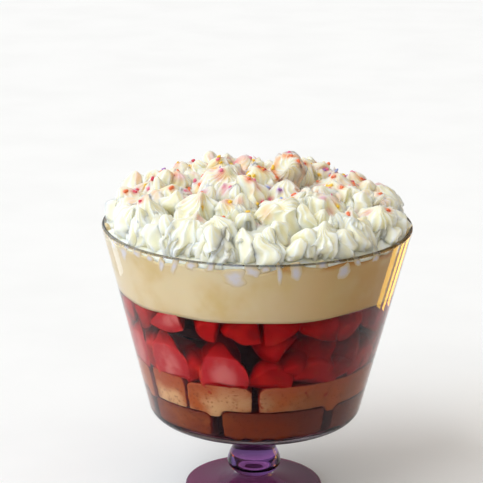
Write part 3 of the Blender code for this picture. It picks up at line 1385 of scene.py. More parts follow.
@dataclass
class Strawberries:
    """The strawberry halves sunk in the jelly, most of them against the glass."""

    outline: BowlOutline
    rng: np.random.Generator
    reach: float = 0.42 * MM
    around: int = 26
    across: int = 14
    levels: int = 30
    hulled: float = 0.16
    cut_beyond: float = 2.4 * MM
    skin_reach: float = 0.08 * MM
    skin_sunk: float = 0.34
    shown: tuple[Berry, ...] = (
        Berry(-77, 20, 44, 24, 4, BerryFace.SKIN),
        Berry(-64, 30, 38, 24, -8),
        Berry(-57, 33, 30, 26, -14, BerryFace.SKIN),
        Berry(-43, 31, 36, 35, 8),
        Berry(-30, 36, 24, 22, 25, BerryFace.SKIN),
        Berry(-15.3, 32.5, 34, 36, 4),
        Berry(8.2, 36, 29, 28, -10, BerryFace.SKIN),
        Berry(29.5, 35, 30, 33, -14, BerryFace.SKIN),
        Berry(44, 36, 26, 28, 14, BerryFace.SKIN),
        Berry(58, 33, 32, 32, 6, BerryFace.SKIN),
        Berry(78, 33, 30, 28, -10, BerryFace.SKIN),
        Berry(-70, 6, 28, 22, 84, BerryFace.SKIN),
        Berry(-53, 6, 24, 20, -70, BerryFace.SKIN),
        Berry(-40, 6, 30, 18, 108),
        Berry(-22, 5, 21, 19, 78, BerryFace.SKIN),
        Berry(-7, 5, 28, 24, 98, BerryFace.SKIN, -2.0),
        Berry(9.8, 5, 27, 21, -84, BerryFace.SKIN, -2.0),
        Berry(27, 6, 29, 21, 86, BerryFace.SKIN),
        Berry(43, 6, 30, 23, -78, BerryFace.SKIN),
        Berry(60, 8, 34, 26, 82, BerryFace.SKIN),
        Berry(77, 7, 30, 24, -86, BerryFace.SKIN),
    )

    def build(self, effects: Effects) -> bpy.types.Object:
        """Place every half and join them into one piece.

        Args:
            effects: The shared shader groups.

        Returns:
            The new piece.
        """
        finish = BerryFinish()
        skin = Skin()
        for berry in (*self.shown, *self.hidden_side(), *self.deep()):
            rings, marks = self.half(berry)
            skin.add_rings(rings[1:-1], rings[0, 0], rings[-1, 0], marks[1:-1])
        mesh = skin.to_mesh("strawberries", finish.mark)
        return place_piece("strawberries", mesh, [finish.make(effects)], "strawberry_jelly")

    def hidden_side(self) -> list[Berry]:
        """Halves round the rest of the bowl, standing low and lying high, as at the front.

        Returns:
            The halves.
        """
        found = []
        for drop, step, length, lying in ((32.0, 22.0, 33.0, 0.0), (6.0, 18.0, 27.0, 85.0)):
            azimuth = 93.0
            while azimuth < 272:
                found.append(
                    Berry(
                        azimuth + self.rng.uniform(-3, 3),
                        drop + self.rng.uniform(-2, 2),
                        length * self.rng.uniform(0.88, 1.15),
                        length * self.rng.uniform(0.72, 0.95),
                        self.rng.choice((-1, 1)) * lying + self.rng.uniform(-18, 18),
                        self.rng.choice((BerryFace.CUT, BerryFace.SKIN)),
                    )
                )
                azimuth += step
        return found

    def deep(self) -> list[Berry]:
        """Halves further in, which show dimly between the others.

        Returns:
            The halves.
        """
        return [
            Berry(
                index * 15.0 + self.rng.uniform(-5, 5),
                self.rng.uniform(12, 34),
                self.rng.uniform(26, 34),
                self.rng.uniform(22, 28),
                self.rng.uniform(-90, 90),
                BerryFace.SKIN,
                self.rng.uniform(5, 10),
            )
            for index in range(24)
        ]

    def half(self, berry: Berry) -> tuple[Array, Array]:
        """Build one half berry where it lies.

        Args:
            berry: Its place, size and turn.

        Returns:
            Its rings of points and their depth in the cut face.
        """
        length, width = berry.length * MM, berry.width * MM
        along = np.linspace(self.hulled, 1, self.levels)
        # The factor brings the widest place, a third of the way along, to 1.
        plump = 2.36 * along**0.45 * (1 - along) ** 0.9
        radius = np.maximum(0.5 * width * plump, 1e-5)
        turn = np.linspace(0, math.pi, self.around)
        line = np.linspace(-1, 1, self.across + 2)[1:-1]
        x = np.concatenate([np.cos(turn), line])
        y = np.concatenate([np.sin(turn), np.zeros_like(line)])
        crown = np.concatenate([np.zeros_like(turn), 1 - line**2])
        shape = np.stack(
            [
                radius[:, None] * x,
                radius[:, None] * y * 0.86 - 0.06 * width * crown * plump[:, None],
                np.repeat(((along - 0.55) * 1.15 * length)[:, None], len(x), axis=1),
            ],
            axis=-1,
        )
        marks = crown * plump[:, None]
        wobble = Ripple(self.rng, 16 * MM)(shape + self.rng.uniform(0, 1, 3))
        shape *= (1 + 0.045 * wobble)[..., None]
        return self.placed(shape, berry), marks

    def placed(self, shape: Array, berry: Berry) -> Array:
        """Turn a half berry to the glass, tilt it, and press it against the wall.

        Args:
            shape: Its points about its own middle.
            berry: Its place and turn.

        Returns:
            Its points in the frame.
        """
        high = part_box("custard")[0].z
        height = high - berry.drop * MM
        azimuth = math.radians(berry.azimuth)
        outward = Vector((math.sin(azimuth), -math.cos(azimuth), 0.0))
        side = Vector((0, 0, 1)).cross(outward)
        turned = berry.face.value
        facing = Matrix((side * -turned, outward * turned, Vector((0, 0, 1)))).transposed()
        lean = Matrix.Rotation(-self.outline.lean, 3, side)
        tilt = Matrix.Rotation(math.radians(berry.tilt), 3, outward)
        shape = shape @ np.array(lean @ tilt @ facing).T
        cut = berry.face is BerryFace.CUT
        beyond = self.cut_beyond if cut else -self.skin_sunk * berry.width * MM
        distance = self.outline.inner(height) + beyond - berry.inward * MM
        place = np.array(outward * distance + Vector((0, 0, height)))
        reach = self.reach if cut else self.skin_reach
        points = keep_inside(shape + place, self.outline, reach)
        points[..., 2] = np.minimum(points[..., 2], high + 1.0 * MM)
        return points


@dataclass(frozen=True)
class Star:
    """One piped star: where it stands, how it was piped and how finely it is drawn."""

    place: Array
    radius: float
    height: float
    teeth: int
    groove: float
    twist: float
    lean: Array
    roll: float
    around: int
    levels: int


@dataclass(frozen=True)
class Smear:
    """Cream pressed flat on the glass under the rim.

    azimuth is in degrees from the front, to the right. drop is how far its middle lies under the
    rim, in millimetres like its width and height. slant leans its top to the right, in degrees.
    """

    azimuth: float
    drop: float
    width: float
    height: float
    slant: float = 0.0


@dataclass
class CreamHeap:
    """The uneven bed of cream, all that is piped on it, and the smears on the glass."""

    outline: BowlOutline
    rng: np.random.Generator
    reach: float = 0.45 * MM
    peaks: int = 110
    edge_drops: int = 46
    edge: float = 4.0 * MM
    crown: tuple[float, float] = (20 * MM, 4 * MM)
    crown_rise: float = 35 * MM
    crown_height: float = 14 * MM
    crown_room: float = 19 * MM
    crown_roll: float = math.radians(58)
    crown_radius: float = 14.0 * MM
    star_radius: float = 13.8 * MM
    outer_ring: float = 70 * MM
    bed_steps: int = 200
    bed_levels: int = 60
    bed_drop: float = 2.5 * MM
    bed_under: float = 7.0 * MM
    bed_folds: float = 4.5 * MM
    star_prefix: str = "cream_star_"
    bed_node: str = "cream_layer"
    # The valley mark carries the cream's painted shade in its grooves and folds.
    valley: str = "valley"
    smears: tuple[Smear, ...] = (
        Smear(-66, 5, 7, 7, 10),
        Smear(-58, 8, 11, 11, -6),
        Smear(-49, 4, 8, 5, 12),
        Smear(-42, 4, 7, 5, -10),
        Smear(-36.8, 7, 4.5, 10, 14),
        Smear(-31.4, 7, 5, 12, 18),
        Smear(-24, 3.5, 9, 6, 0),
        Smear(-17, 4, 8, 6, 20),
        Smear(-8.3, 10, 18, 14, 4),
        Smear(-2, 5, 10, 9, -14),
        Smear(2.5, 3, 6, 5, 10),
        Smear(7.5, 6, 4, 14, -4),
        Smear(13.4, 5.5, 7, 12, -8),
        Smear(23, 2.5, 7, 5, 0),
        Smear(32.7, 8, 11, 11, 4),
        Smear(38, 4, 6, 6, -12),
        Smear(47, 4, 6, 6, 0),
        Smear(62, 5, 5, 8, 8),
    )

    def build(self, effects: Effects) -> list[bpy.types.Object]:
        """Make the bed, every star, peak, drop and smear, and dress them.

        Args:
            effects: The shared shader groups.

        Returns:
            The new pieces.
        """
        material = CreamFinish(mark=self.valley).make(effects)
        pieces = [self.bed(material)]
        names = sorted(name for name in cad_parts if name.startswith(self.star_prefix))
        crown = min(names, key=self.off_crown)
        for name in names:
            skin = Skin()
            star = self.plan(name)
            self.add_star(skin, self.crowned(star) if name == crown else star)
            mesh = skin.to_mesh(name, self.valley)
            pieces.append(place_piece(f"{name}_piped", mesh, [material], "whipped_cream", [name]))
        joined = {"cream_peaks": self.add_peaks, "cream_edge_drops": self.add_edge_drops}
        for name, add in joined.items():
            skin = Skin()
            add(skin)
            mesh = skin.to_mesh(name, self.valley)
            pieces.append(place_piece(name, mesh, [material], "whipped_cream"))
        film = FilmFinish()
        skin = Skin()
        self.add_smears(skin)
        mesh = skin.to_mesh("cream_smears", film.mark)
        place_piece("cream_smears", mesh, [film.make(effects)], "whipped_cream")
        return pieces

    @property
    def crown_middle(self) -> tuple[float, float, float]:
        """Middle of the rosette at the top of the heap."""
        return (*self.crown, self.outline.rim_height + self.crown_rise)

    @property
    def crown_facing(self) -> tuple[float, float, float]:
        """The direction that the rosette at the top faces."""
        return (0.0, -math.sin(self.crown_roll), math.cos(self.crown_roll))

    def off_crown(self, name: str) -> float:
        """How far a star's node stands from where the heap is crowned.

        Args:
            name: The star's node.

        Returns:
            The distance.
        """
        low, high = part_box(name)
        aside = (low.x + high.x) / 2 - self.crown[0]
        return math.hypot(aside, (low.y + high.y) / 2 - self.crown[1])

    def crowned(self, star: Star) -> Star:
        """Turn a star into the rosette that faces the front at the top of the heap.

        Args:
            star: The star's plan.

        Returns:
            The rosette's plan.
        """
        back = Vector(self.crown_facing) * -self.crown_height
        return replace(
            star,
            place=np.array(Vector(self.crown_middle) + back),
            radius=self.crown_radius,
            height=1.35 * self.crown_height,
            teeth=12,
            groove=0.26,
            twist=2.4,
            lean=np.zeros(2),
            roll=self.crown_roll,
        )

    def bed(self, material: bpy.types.Material) -> bpy.types.Object:
        """Make the cream under and between the stars.

        Args:
            material: The cream's material.

        Returns:
            The new piece.
        """
        low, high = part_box(self.bed_node)
        rim = self.outline.rim_height
        steps, levels = self.bed_steps, self.bed_levels
        angles = np.linspace(0, math.tau, steps, endpoint=False)
        shares = np.linspace(1.0, 0.03, levels)
        radius = (self.outline.inner(rim) - 0.8 * MM) * shares[:, None]
        points = np.stack(
            [radius * np.cos(angles), radius * np.sin(angles), np.zeros((levels, steps))], axis=-1
        )
        rise = high.z + 5 * MM - rim
        dome = rim - self.bed_drop + rise * smooth(1.8 * (1 - shares) + 0.12)[:, None]
        folds = 1 - np.abs(Ripple(self.rng, 17 * MM)(points))
        points[..., 2] = dome + self.bed_folds * folds * smooth(6 * (1 - shares))[:, None]
        under = points[:1].copy()
        under[..., 2] = rim - self.bed_under
        rings = np.concatenate([keep_inside(under, self.outline, 0.0), points])
        # The folds' marks feed the cream's painted shade.
        marks = np.concatenate([np.zeros((1, steps)), 0.7 * np.clip(1 - folds, 0, 1)])
        skin = Skin()
        bottom = np.array([0.0, 0.0, low.z])
        skin.add_rings(rings, bottom, rings[-1].mean(axis=0), marks)
        mesh = skin.to_mesh("cream_bed", self.valley)
        return place_piece("cream_bed", mesh, [material], "whipped_cream", [self.bed_node])

    def plan(self, name: str) -> Star:
        """Decide how the star at a node was piped.

        Args:
            name: The frame's node.

        Returns:
            The plan.
        """
        low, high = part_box(name)
        centre = np.array([(low.x + high.x) / 2, (low.y + high.y) / 2, low.z])
        outer = math.hypot(centre[0], centre[1]) > self.outer_ring
        jitter = self.rng.uniform(-2.2, 2.2, size=3) * MM
        sink = (6.0 if outer else 4.0) * MM
        return Star(
            place=centre + jitter - np.array([0, 0, sink]),
            radius=self.star_radius * self.rng.uniform(1.10, 1.38),
            height=(high.z - low.z + sink) * self.rng.uniform(0.86, 1.12),
            teeth=int(self.rng.integers(14, 19)),
            groove=self.rng.uniform(0.12, 0.19),
            twist=self.rng.uniform(-0.8, 0.8),
            lean=self.rng.normal(size=2) * 3.2 * MM,
            roll=0.0,
            around=120,
            levels=40,
        )

    def add_star(self, skin: Skin, star: Star) -> None:
        """Add one star's body, kept inside the glass.

        Args:
            skin: Where the body is added.
            star: The star's plan.
        """
        rings, marks = self.drop_rings(star)
        rings = self.roughened(rings)
        sunk = smooth((self.outline.rim_height - self.edge - rings[..., 2]) / (2 * MM))
        rings = keep_inside(rings, self.outline, self.reach - 2.0 * MM * sunk)
        skin.add_rings(rings[1:-1], rings[0].mean(axis=0), rings[-1].mean(axis=0), marks[1:-1])

    def section(self, turn: Array, star: Star, groove: Array) -> tuple[Array, Array]:
        """The star nozzle's section: sharp ridges with rounded valleys between.

        Args:
            turn: Angles round the section, shaped (levels, around).
            star: The star's plan.
            groove: Depth of the valleys at each level, shaped (levels, 1).

        Returns:
            The radius as a share, and how deep in a valley each point is.
        """
        deep = np.abs(np.sin(star.teeth * turn / 2)) ** 0.85
        uneven = self.rng.uniform(0.88, 1.12, size=star.teeth)
        tooth = np.arange(turn.shape[1]) * star.teeth / turn.shape[1]
        left = np.floor(tooth).astype(int) % star.teeth
        share = smooth(tooth - np.floor(tooth))
        strength = uneven[left] * (1 - share) + uneven[(left + 1) % star.teeth] * share
        # The valley depth also sets the cream's painted shade.
        return strength * (1 - groove * deep), deep**1.5 * np.ones_like(groove)

    def drop_rings(self, star: Star) -> tuple[Array, Array]:
        """Press out a star and pull it up to a leaning peak.

        Args:
            star: The star's plan.

        Returns:
            Its rings of points, and how deep in a valley each point is.
        """
        rise = np.linspace(0, 1, star.levels)
        turn = np.linspace(0, math.tau, star.around, endpoint=False)
        turn = turn[None, :].repeat(star.levels, 0)
        width = (0.84 + 0.72 * rise) * np.maximum(1 - rise**2.1, 0) ** 0.85
        width = np.maximum(width, 0.02)[:, None]
        groove = star.groove * (0.8 + 0.4 * np.sin(math.pi * rise))[:, None]
        share, marks = self.section(turn, star, groove)
        radius = star.radius * width * share
        bend = turn + star.twist * rise[:, None] ** 1.3
        bow = 1.4 * MM * np.sin(4 * rise + star.twist * 9)[:, None]
        points = np.stack(
            [
                star.lean[0] * rise[:, None] ** 2 + bow + radius * np.cos(bend),
                star.lean[1] * rise[:, None] ** 2 - bow + radius * np.sin(bend),
                star.height * rise[:, None] + 0 * turn,
            ],
            axis=-1,
        )
        roll = np.array(Matrix.Rotation(star.roll, 3, "X"))
        return star.place + points @ roll.T, marks

    def roughened(self, points: Array) -> Array:
        """Bend and dent a body's rings unevenly, as whipped cream sets.

        Args:
            points: The body's rings of points.

        Returns:
            The bent rings.
        """
        bent = points.copy()
        for length, depth in ((16 * MM, 1.3 * MM), (7 * MM, 0.25 * MM)):
            for axis in range(3):
                bent[..., axis] += depth * Ripple(self.rng, length)(points)
        return bent

    def small_star(self, place: Array, size: float, height: float) -> Star:
        """Decide how one small drop of cream was pulled.

        Args:
            place: Where it stands.
            size: Its radius.
            height: How high it was pulled.

        Returns:
            The plan.
        """
        return Star(
            place=place,
            radius=size,
            height=height,
            teeth=8,
            groove=self.rng.uniform(0.08, 0.16),
            twist=self.rng.uniform(-0.9, 0.9),
            lean=self.rng.normal(size=2) * 3.0 * MM,
            roll=0.0,
            around=48,
            levels=16,
        )

    def add_edge_drops(self, skin: Skin) -> None:
        """Add the ring of small drops that fills the heap out to the glass.

        Args:
            skin: Where the bodies are added.
        """
        for index in range(self.edge_drops):
            angle = math.tau * (index + self.rng.uniform(-0.3, 0.3)) / self.edge_drops
            distance = self.rng.uniform(88, 94) * MM
            size = self.rng.uniform(8.0, 11.5) * MM
            level = self.outline.rim_height - 3 * MM
            place = np.array([distance * math.cos(angle), distance * math.sin(angle), level])
            self.add_star(skin, self.small_star(place, size, size * self.rng.uniform(1.6, 2.3)))

    def add_peaks(self, skin: Skin) -> None:
        """Add small pulled peaks between the stars.

        Args:
            skin: Where the bodies are added.
        """
        rim = self.outline.rim_height
        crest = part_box(self.bed_node)[1].z - rim
        for _ in range(self.peaks):
            distance = 93 * MM * math.sqrt(self.rng.random())
            angle = self.rng.uniform(0, math.tau)
            x, y = distance * math.cos(angle), distance * math.sin(angle)
            if math.hypot(x - self.crown[0], y - self.crown[1]) < self.crown_room:
                continue
            level = rim + crest * float(smooth(1.2 * (1 - distance / 0.1))) + 3 * MM
            size = self.rng.uniform(5.0, 9.0) * MM
            height = size * self.rng.uniform(1.8, 2.9)
            self.add_star(skin, self.small_star(np.array([x, y, level]), size, height))

    def add_smears(self, skin: Skin) -> None:
        """Add every smear as a thin uneven lens on the glass.

        Args:
            skin: Where the bodies are added.
        """
        hidden = [
            Smear(
                azimuth + self.rng.uniform(-5, 5),
                self.rng.uniform(3, 9),
                self.rng.uniform(4, 13),
                self.rng.uniform(6, 13),
                self.rng.uniform(-15, 15),
            )
            for azimuth in range(80, 290, 14)
        ]
        turn = np.linspace(0, math.tau, 56, endpoint=False)
        circle = np.stack([np.cos(turn), np.sin(turn), np.zeros_like(turn)], axis=-1)
        sizes = np.array([0.25, 0.5, 0.75, 0.93, 1.0, 0.93, 0.75, 0.5, 0.25])
        depth = np.array([-1.0, -1.0, -0.9, -0.5, 0.0, 0.6, 1.0, 1.0, 1.0])
        for smear in (*self.smears, *hidden):
            ragged = 1 + 0.15 * Ripple(self.rng, 1.6)(circle) + 0.04 * Ripple(self.rng, 0.6)(circle)
            across = 0.5 * smear.width * MM * sizes[:, None] * ragged * np.cos(turn)
            upward = 0.5 * smear.height * MM * sizes[:, None] * ragged * np.sin(turn)
            height = self.outline.rim_height - smear.drop * MM + upward
            aside = across + upward * math.tan(math.radians(smear.slant))
            wall = self.outline.inner(height)
            angle = math.radians(smear.azimuth) + aside / wall
            radius = wall + np.where(depth > 0, 0.48 * MM, 2.5 * MM)[:, None] * depth[:, None]
            rings = np.stack([radius * np.sin(angle), -radius * np.cos(angle), height], axis=-1)
            marks = (1 - sizes[:, None] + 0 * angle) * 1.34
            skin.add_rings(rings, rings[0].mean(axis=0), rings[-1].mean(axis=0), marks)


@dataclass(frozen=True)
class Strand:
    """One sugar strand lying on the cream."""

    spot: Array
    along: Array
    side: Array
    up: Array
    length: float
    radius: float


@dataclass(frozen=True)
class DyeAndGlow:
    """Colour laid into the cream round one spot: bled from a sprinkle, and for the top rosette's
    ring, painted warm light.
    """

    spot: Array
    colour: Colour
    radius: float
    strength: float


@dataclass
class Sprinkles:
    """Sugar strands scattered over the cream, thickest in the middle, with their bled colour and a
    painted ring of warm light on the top rosette.
    """

    rng: np.random.Generator
    ring_middle: tuple[float, float, float]
    ring_facing: tuple[float, float, float]
    total: int = 300
    length: float = 3.4 * MM
    radius: float = 1.0 * MM
    around: int = 8
    faint: int = 560
    widest_stain: float = 8 * MM
    ring_radius: float = 10.5 * MM
    # Painted warm rim light round the top rosette's face.
    rim_light_colour: Colour = paint("f09a60")
    mark: str = "dye_and_glow"

    def build(self, effects: Effects, cream: Sequence[bpy.types.Object]) -> list[bpy.types.Object]:
        """Scatter one joined piece of each colour over the cream.

        Args:
            effects: The shared shader groups.
            cream: The pieces that the strands lie on.

        Returns:
            The new pieces.
        """
        surface = self.surface(cream)
        pieces = []
        dye_and_glow_spots = self.ring(surface)
        for kind in SprinkleKind:
            code, share = kind.value
            colour = paint(code)
            skin = Skin()
            for _ in range(round(self.total * share)):
                strand = self.dropped(surface)
                self.add_strand(skin, strand)
                dye_and_glow_spots.append(DyeAndGlow(strand.spot, colour, self.rng.uniform(2.8, 4.6) * MM, 0.7))
            for _ in range(round(self.faint * share)):
                spot = self.dropped(surface).spot
                strength = self.rng.uniform(0.15, 0.42)
                dye_and_glow_spots.append(DyeAndGlow(spot, colour, self.rng.uniform(3.0, 8.0) * MM, strength))
            name = f"sprinkles_{kind.name.lower()}"
            material = SprinkleFinish(colour).make(effects, name)
            pieces.append(place_piece(name, skin.to_mesh(name), [material], "whipped_cream"))
        # The cream takes the sprinkles' bled colour and the painted warm light as one mark.
        for piece in cream:
            self.spread_dye_and_glow(piece.data, dye_and_glow_spots)
        return pieces

    def ring(self, surface: BVHTree) -> list[DyeAndGlow]:
        """Ring the face of the rosette at the top of the heap with painted warm light.

        Args:
            surface: The cream's faces.

        Returns:
            The ring's spots of painted light.
        """
        found = []
        front = Vector(self.ring_facing)
        up = Vector((1.0, 0.0, 0.0)).cross(-front)
        # Each spot paints warm light on the rosette's face.
        for turn in np.linspace(0, math.tau, 22, endpoint=False):
            reach = self.ring_radius * self.rng.uniform(0.85, 1.15)
            aside = Vector((math.cos(turn) * reach, 0.0, 0.0)) + up * math.sin(turn) * reach
            start = Vector(self.ring_middle) + aside + front * 0.2
            spot, *_ = surface.ray_cast(start, -front)
            if spot is not None:
                strength = self.rng.uniform(0.35, 0.7)
                found.append(DyeAndGlow(np.array(spot), self.rim_light_colour, 4.4 * MM, strength))
        return found

    def surface(self, cream: Sequence[bpy.types.Object]) -> BVHTree:
        """Join the cream's faces for finding where a strand lands.

        Args:
            cream: The cream's pieces.

        Returns:
            The faces, ready for casting rays.
        """
        points: list = []
        faces: list = []
        for piece in cream:
            start = len(points)
            points.extend(vertex.co[:] for vertex in piece.data.vertices)
            faces.extend([start + index for index in face.vertices] for face in piece.data.polygons)
        return BVHTree.FromPolygons(points, faces)

    def dropped(self, surface: BVHTree) -> Strand:
        """Drop one strand on the cream.

        Args:
            surface: The cream's faces.

        Returns:
            Where and how it lies.
        """
        while True:
            distance = 93 * MM * self.rng.random() ** 0.58
            angle = self.rng.uniform(0, math.tau)
            x, y = distance * math.cos(angle), distance * math.sin(angle)
            if self.rng.random() > 0.62 + 7.0 * y:
                continue
            spot, normal, _, _ = surface.ray_cast(Vector((x, y, 1.0)), Vector((0, 0, -1)))
            if spot is not None:
                break
        flat = Vector(self.rng.normal(size=3))
        along = (flat - flat.dot(normal) * normal * 0.9).normalized()
        side = along.orthogonal().normalized()
        grown = self.rng.uniform(0.75, 1.2)
        return Strand(
            spot=np.array(spot + normal * self.radius * 0.15),
            along=np.array(along),
            side=np.array(side),
            up=np.array(along.cross(side)),
            length=self.length * self.rng.uniform(0.55, 1.15),
            radius=self.radius * grown,
        )

    def add_strand(self, skin: Skin, strand: Strand) -> None:
        """Add one strand's rounded body.

        Args:
            skin: Where the body is added.
            strand: How it lies.
        """
        half = 0.5 * strand.length
        stops = np.array([-1.0, -0.9, -0.6, 0.6, 0.9, 1.0]) * half
        widths = np.array([0.35, 0.8, 1.0, 1.0, 0.8, 0.35]) * strand.radius
        turn = np.linspace(0, math.tau, self.around, endpoint=False)
        rings = (
            strand.spot
            + stops[:, None, None] * strand.along
            + (widths[:, None] * np.cos(turn))[..., None] * strand.side
            + (widths[:, None] * np.sin(turn))[..., None] * strand.up
        )
        tip = half * strand.along
        skin.add_rings(rings, strand.spot - tip, strand.spot + tip)

    def spread_dye_and_glow(self, mesh: bpy.types.Mesh, dye_and_glow_spots: Sequence[DyeAndGlow]) -> None:
        """Spread the strands' bled colour and the painted warm light into a cream mesh, as its own
        colour mark.

        Args:
            mesh: The mesh.
            dye_and_glow_spots: The spots of bled colour and of painted light.
        """
        points = np.empty(len(mesh.vertices) * 3, np.float32)
        mesh.vertices.foreach_get("co", points)
        points = points.reshape(-1, 3)
        low = points.min(axis=0) - self.widest_stain
        high = points.max(axis=0) + self.widest_stain
        dye_and_glow = np.zeros((len(points), 4), np.float32)
        for stain in dye_and_glow_spots:
            if np.any(stain.spot < low) or np.any(stain.spot > high):
                continue
            away = np.linalg.norm(points - stain.spot, axis=1) / stain.radius
            share = stain.strength * smooth(1.15 * (1 - away))
            dye_and_glow[:, :3] += share[:, None] * np.array(stain.colour)
            dye_and_glow[:, 3] += share
        total = np.maximum(dye_and_glow[:, 3:], 1e-6)
        dye_and_glow[:, :3] /= total
        dye_and_glow[:, 3] = np.minimum(dye_and_glow[:, 3], 0.75)
        attribute = mesh.attributes.new(self.mark, "FLOAT_COLOR", "POINT")
        attribute.data.foreach_set("color", dye_and_glow.reshape(-1))


# --------------------------------------------------------------------------------------
# Floor, light and camera
# --------------------------------------------------------------------------------------


@dataclass(frozen=True)
class Lamp:
    """One soft rectangular lamp, aimed at the trifle.

    azimuth is in degrees from the front, to the right, and elevation is up from the level.
    """

    name: str
    azimuth: float
    elevation: float
    distance: float
    size: tuple[float, float]
    power: float
    colour: Colour


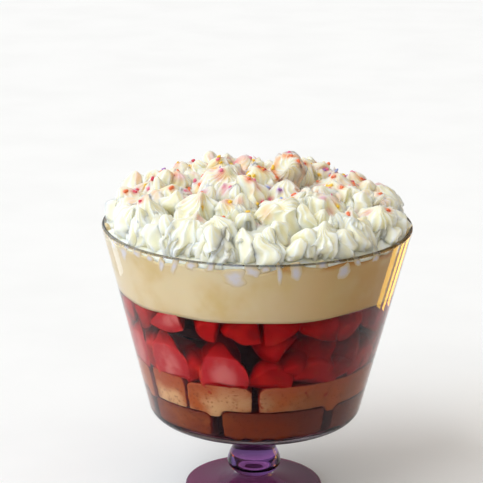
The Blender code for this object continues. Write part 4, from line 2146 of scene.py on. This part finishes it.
@dataclass
class Studio:
    """A plain pale floor, soft lamps and the camera."""

    outline: BowlOutline
    floor_size: float = 12.0
    aim_side: float = -10.5 * MM
    aim_drop: float = 14.5 * MM
    camera_distance: float = 1.2
    camera_elevation: float = math.radians(15.94)
    camera_roll: float = math.radians(0.66)
    lens: float = 131.8
    sky_left: Colour = (0.50, 0.56, 0.66)
    sky_right: Colour = (0.19, 0.115, 0.04)
    sky_top_left: Colour = (0.98, 1.0, 1.02)
    sky_top_right: Colour = (0.55, 0.50, 0.41)
    window_power: float = 1.95
    window_width: float = math.radians(55)
    window_colour: Colour = (0.95, 0.98, 1.0)
    window_azimuth: float = -62
    window_elevation: float = 42
    lamp_spread: float = math.radians(130)
    lamps: tuple[Lamp, ...] = (
        Lamp("warm_strip", 112, -6, 0.32, (0.045, 0.11), 0.040, (1.0, 0.56, 0.02)),
        Lamp("warm_middle", 124, -6, 0.33, (0.026, 0.11), 0.027, (1.0, 0.60, 0.03)),
        Lamp("warm_edge", 136, -5, 0.35, (0.040, 0.11), 0.034, (1.0, 0.50, 0.01)),
        Lamp("cool_window", -122, -5, 0.32, (0.06, 0.05), 0.007, (0.66, 0.80, 1.0)),
    )

    def build(self, effects: Effects) -> None:
        """Set up the floor, the sky, the lamps and the camera.

        Args:
            effects: The shared shader groups.
        """
        self.lay_floor(effects)
        self.light_sky()
        self.hang_window()
        for lamp in self.lamps:
            self.hang(lamp)
        self.set_camera()
        bpy.context.scene.view_settings.view_transform = "Standard"

    def lay_floor(self, effects: Effects) -> None:
        """Lay the pale floor that the foot stands on.

        Args:
            effects: The shared shader groups.
        """
        half = self.floor_size / 2
        mesh = bpy.data.meshes.new("floor")
        corners = [(-half, -half, 0), (half, -half, 0), (half, half, 0), (-half, half, 0)]
        mesh.from_pydata(corners, [], [(0, 1, 2, 3)])
        floor = bpy.data.objects.new("floor", mesh)
        bpy.context.scene.collection.objects.link(floor)
        finish = Finish("floor", effects, Roughness=0.8)
        finish.set(Base_Color=finish.mottled((0.93, 0.93, 0.93), (0.90, 0.90, 0.90), 8.0, 0.3, 0.8))
        mesh.materials.append(finish.material)

    def light_sky(self) -> None:
        """Light everything softly from all round, less from low down and from the right."""
        world = bpy.data.worlds.new("soft_room")
        world.use_nodes = True
        bpy.context.scene.world = world
        wiring = Wiring(world.node_tree)
        back = world.node_tree.nodes["Background"]
        place = wiring.add("ShaderNodeTexCoord").outputs["Generated"]
        split = wiring.add("ShaderNodeSeparateXYZ", {0: place})
        side = wiring.ease(split.outputs["X"], -0.7, 0.8)
        round_room = wiring.blend(side, self.sky_left, self.sky_right)
        overhead = wiring.blend(side, self.sky_top_left, self.sky_top_right)
        high = wiring.ease(split.outputs["Z"], 0.0, 0.9)
        colour = wiring.blend(high, round_room, overhead)
        wiring.feed(back, {"Color": colour, "Strength": 1.0})

    def hang_window(self) -> None:
        """Light the trifle and the whole floor evenly from the upper left."""
        light = bpy.data.lights.new("window", "SUN")
        light.energy = self.window_power
        light.angle = self.window_width
        light.color = self.window_colour
        holder = bpy.data.objects.new("window", light)
        bpy.context.scene.collection.objects.link(holder)
        window = self.towards(self.window_azimuth, self.window_elevation)
        holder.rotation_euler = (-window).to_track_quat("-Z", "Y").to_euler()

    @staticmethod
    def towards(azimuth: float, elevation: float) -> Vector:
        """Give the direction at an azimuth, from the front to the right, and an elevation.

        Args:
            azimuth: Degrees from the front, to the right.
            elevation: Degrees up from the level.

        Returns:
            The direction, of length 1.
        """
        turn, rise = math.radians(azimuth), math.radians(elevation)
        level = math.cos(rise)
        return Vector((level * math.sin(turn), -level * math.cos(turn), math.sin(rise)))

    def hang(self, lamp: Lamp) -> None:
        """Hang one lamp, aimed at the middle of the bowl, that shows only in reflections.

        Args:
            lamp: The lamp.
        """
        light = bpy.data.lights.new(lamp.name, "AREA")
        light.shape = "RECTANGLE"
        light.size, light.size_y = lamp.size
        light.energy = lamp.power
        light.color = lamp.colour
        light.spread = self.lamp_spread
        holder = bpy.data.objects.new(lamp.name, light)
        holder.visible_diffuse = False
        bpy.context.scene.collection.objects.link(holder)
        offset = lamp.distance * self.towards(lamp.azimuth, lamp.elevation)
        target = Vector((0, 0, 0.5 * self.outline.rim_height))
        holder.location = target + offset
        holder.rotation_euler = (-offset).to_track_quat("-Z", "Y").to_euler()

    def set_camera(self) -> None:
        """Put the camera a little above the rim, looking down at it."""
        data = bpy.data.cameras.new("camera")
        data.sensor_width = 36.0
        data.lens = self.lens
        camera = bpy.data.objects.new("camera", data)
        bpy.context.scene.collection.objects.link(camera)
        target = Vector((self.aim_side, 0.0, self.outline.rim_height - self.aim_drop))
        back = Vector((0, -math.cos(self.camera_elevation), math.sin(self.camera_elevation)))
        turn = (-back).to_track_quat("-Z", "Y").to_matrix()
        roll = Matrix.Rotation(self.camera_roll, 3, "Z")
        camera.matrix_world = Matrix.LocRotScale(
            target + back * self.camera_distance, turn @ roll, None
        )
        bpy.context.scene.camera = camera


# --------------------------------------------------------------------------------------
# Making the whole
# --------------------------------------------------------------------------------------


def sponge_finishes() -> tuple[SpongeFinish, SpongeFinish]:
    """The soaked tier's finish and the lighter tier's.

    Returns:
        The soaked tier's finish and the lighter tier's.
    """
    # In each tier the crumb darkens towards the right as painted shade, and the holes' colour is
    # painted shade.
    soaked = SpongeFinish(
        name="soaked_sponge",
        light=paint("964a18"),
        dark=paint("661f04"),
        soaked=paint("7a2c08"),
        pore_shade=paint("3a1206"),
        stain=paint("5e1c08"),
        roughness=0.5,
        shine=0.15,
    )
    light = SpongeFinish(
        name="sponge",
        light=paint("dcb080"),
        dark=paint("945028"),
        soaked=paint("ac5422"),
        pore_shade=paint("7c3a1a"),
        stain=paint("a84e30"),
        roughness=0.7,
        shine=0.1,
    )
    return soaked, light


def main() -> None:
    """Build the trifle from the glass in, then the cream, then light it."""
    logging.basicConfig(level=logging.INFO, format="%(name)s %(message)s")
    rng = np.random.default_rng(SEED)
    effects = Effects()
    outline = read_outline()
    GlassBowl(outline).build(effects)
    Jelly(outline).build(effects)
    soaked, light = sponge_finishes()
    SpongeTier(outline, rng, "soaked_sponge_", "soaked_sponge", soaked).build(effects)
    SpongeTier(outline, rng, "sponge_", "sponge", light, closed=(-35.0,)).build(effects)
    Strawberries(outline, rng).build(effects)
    Custard(outline, rng).build(effects)
    heap = CreamHeap(outline, rng)
    cream = heap.build(effects)
    Sprinkles(rng, heap.crown_middle, heap.crown_facing).build(effects, cream)
    Studio(outline).build(effects)


if __name__ == "__main__":
    main()
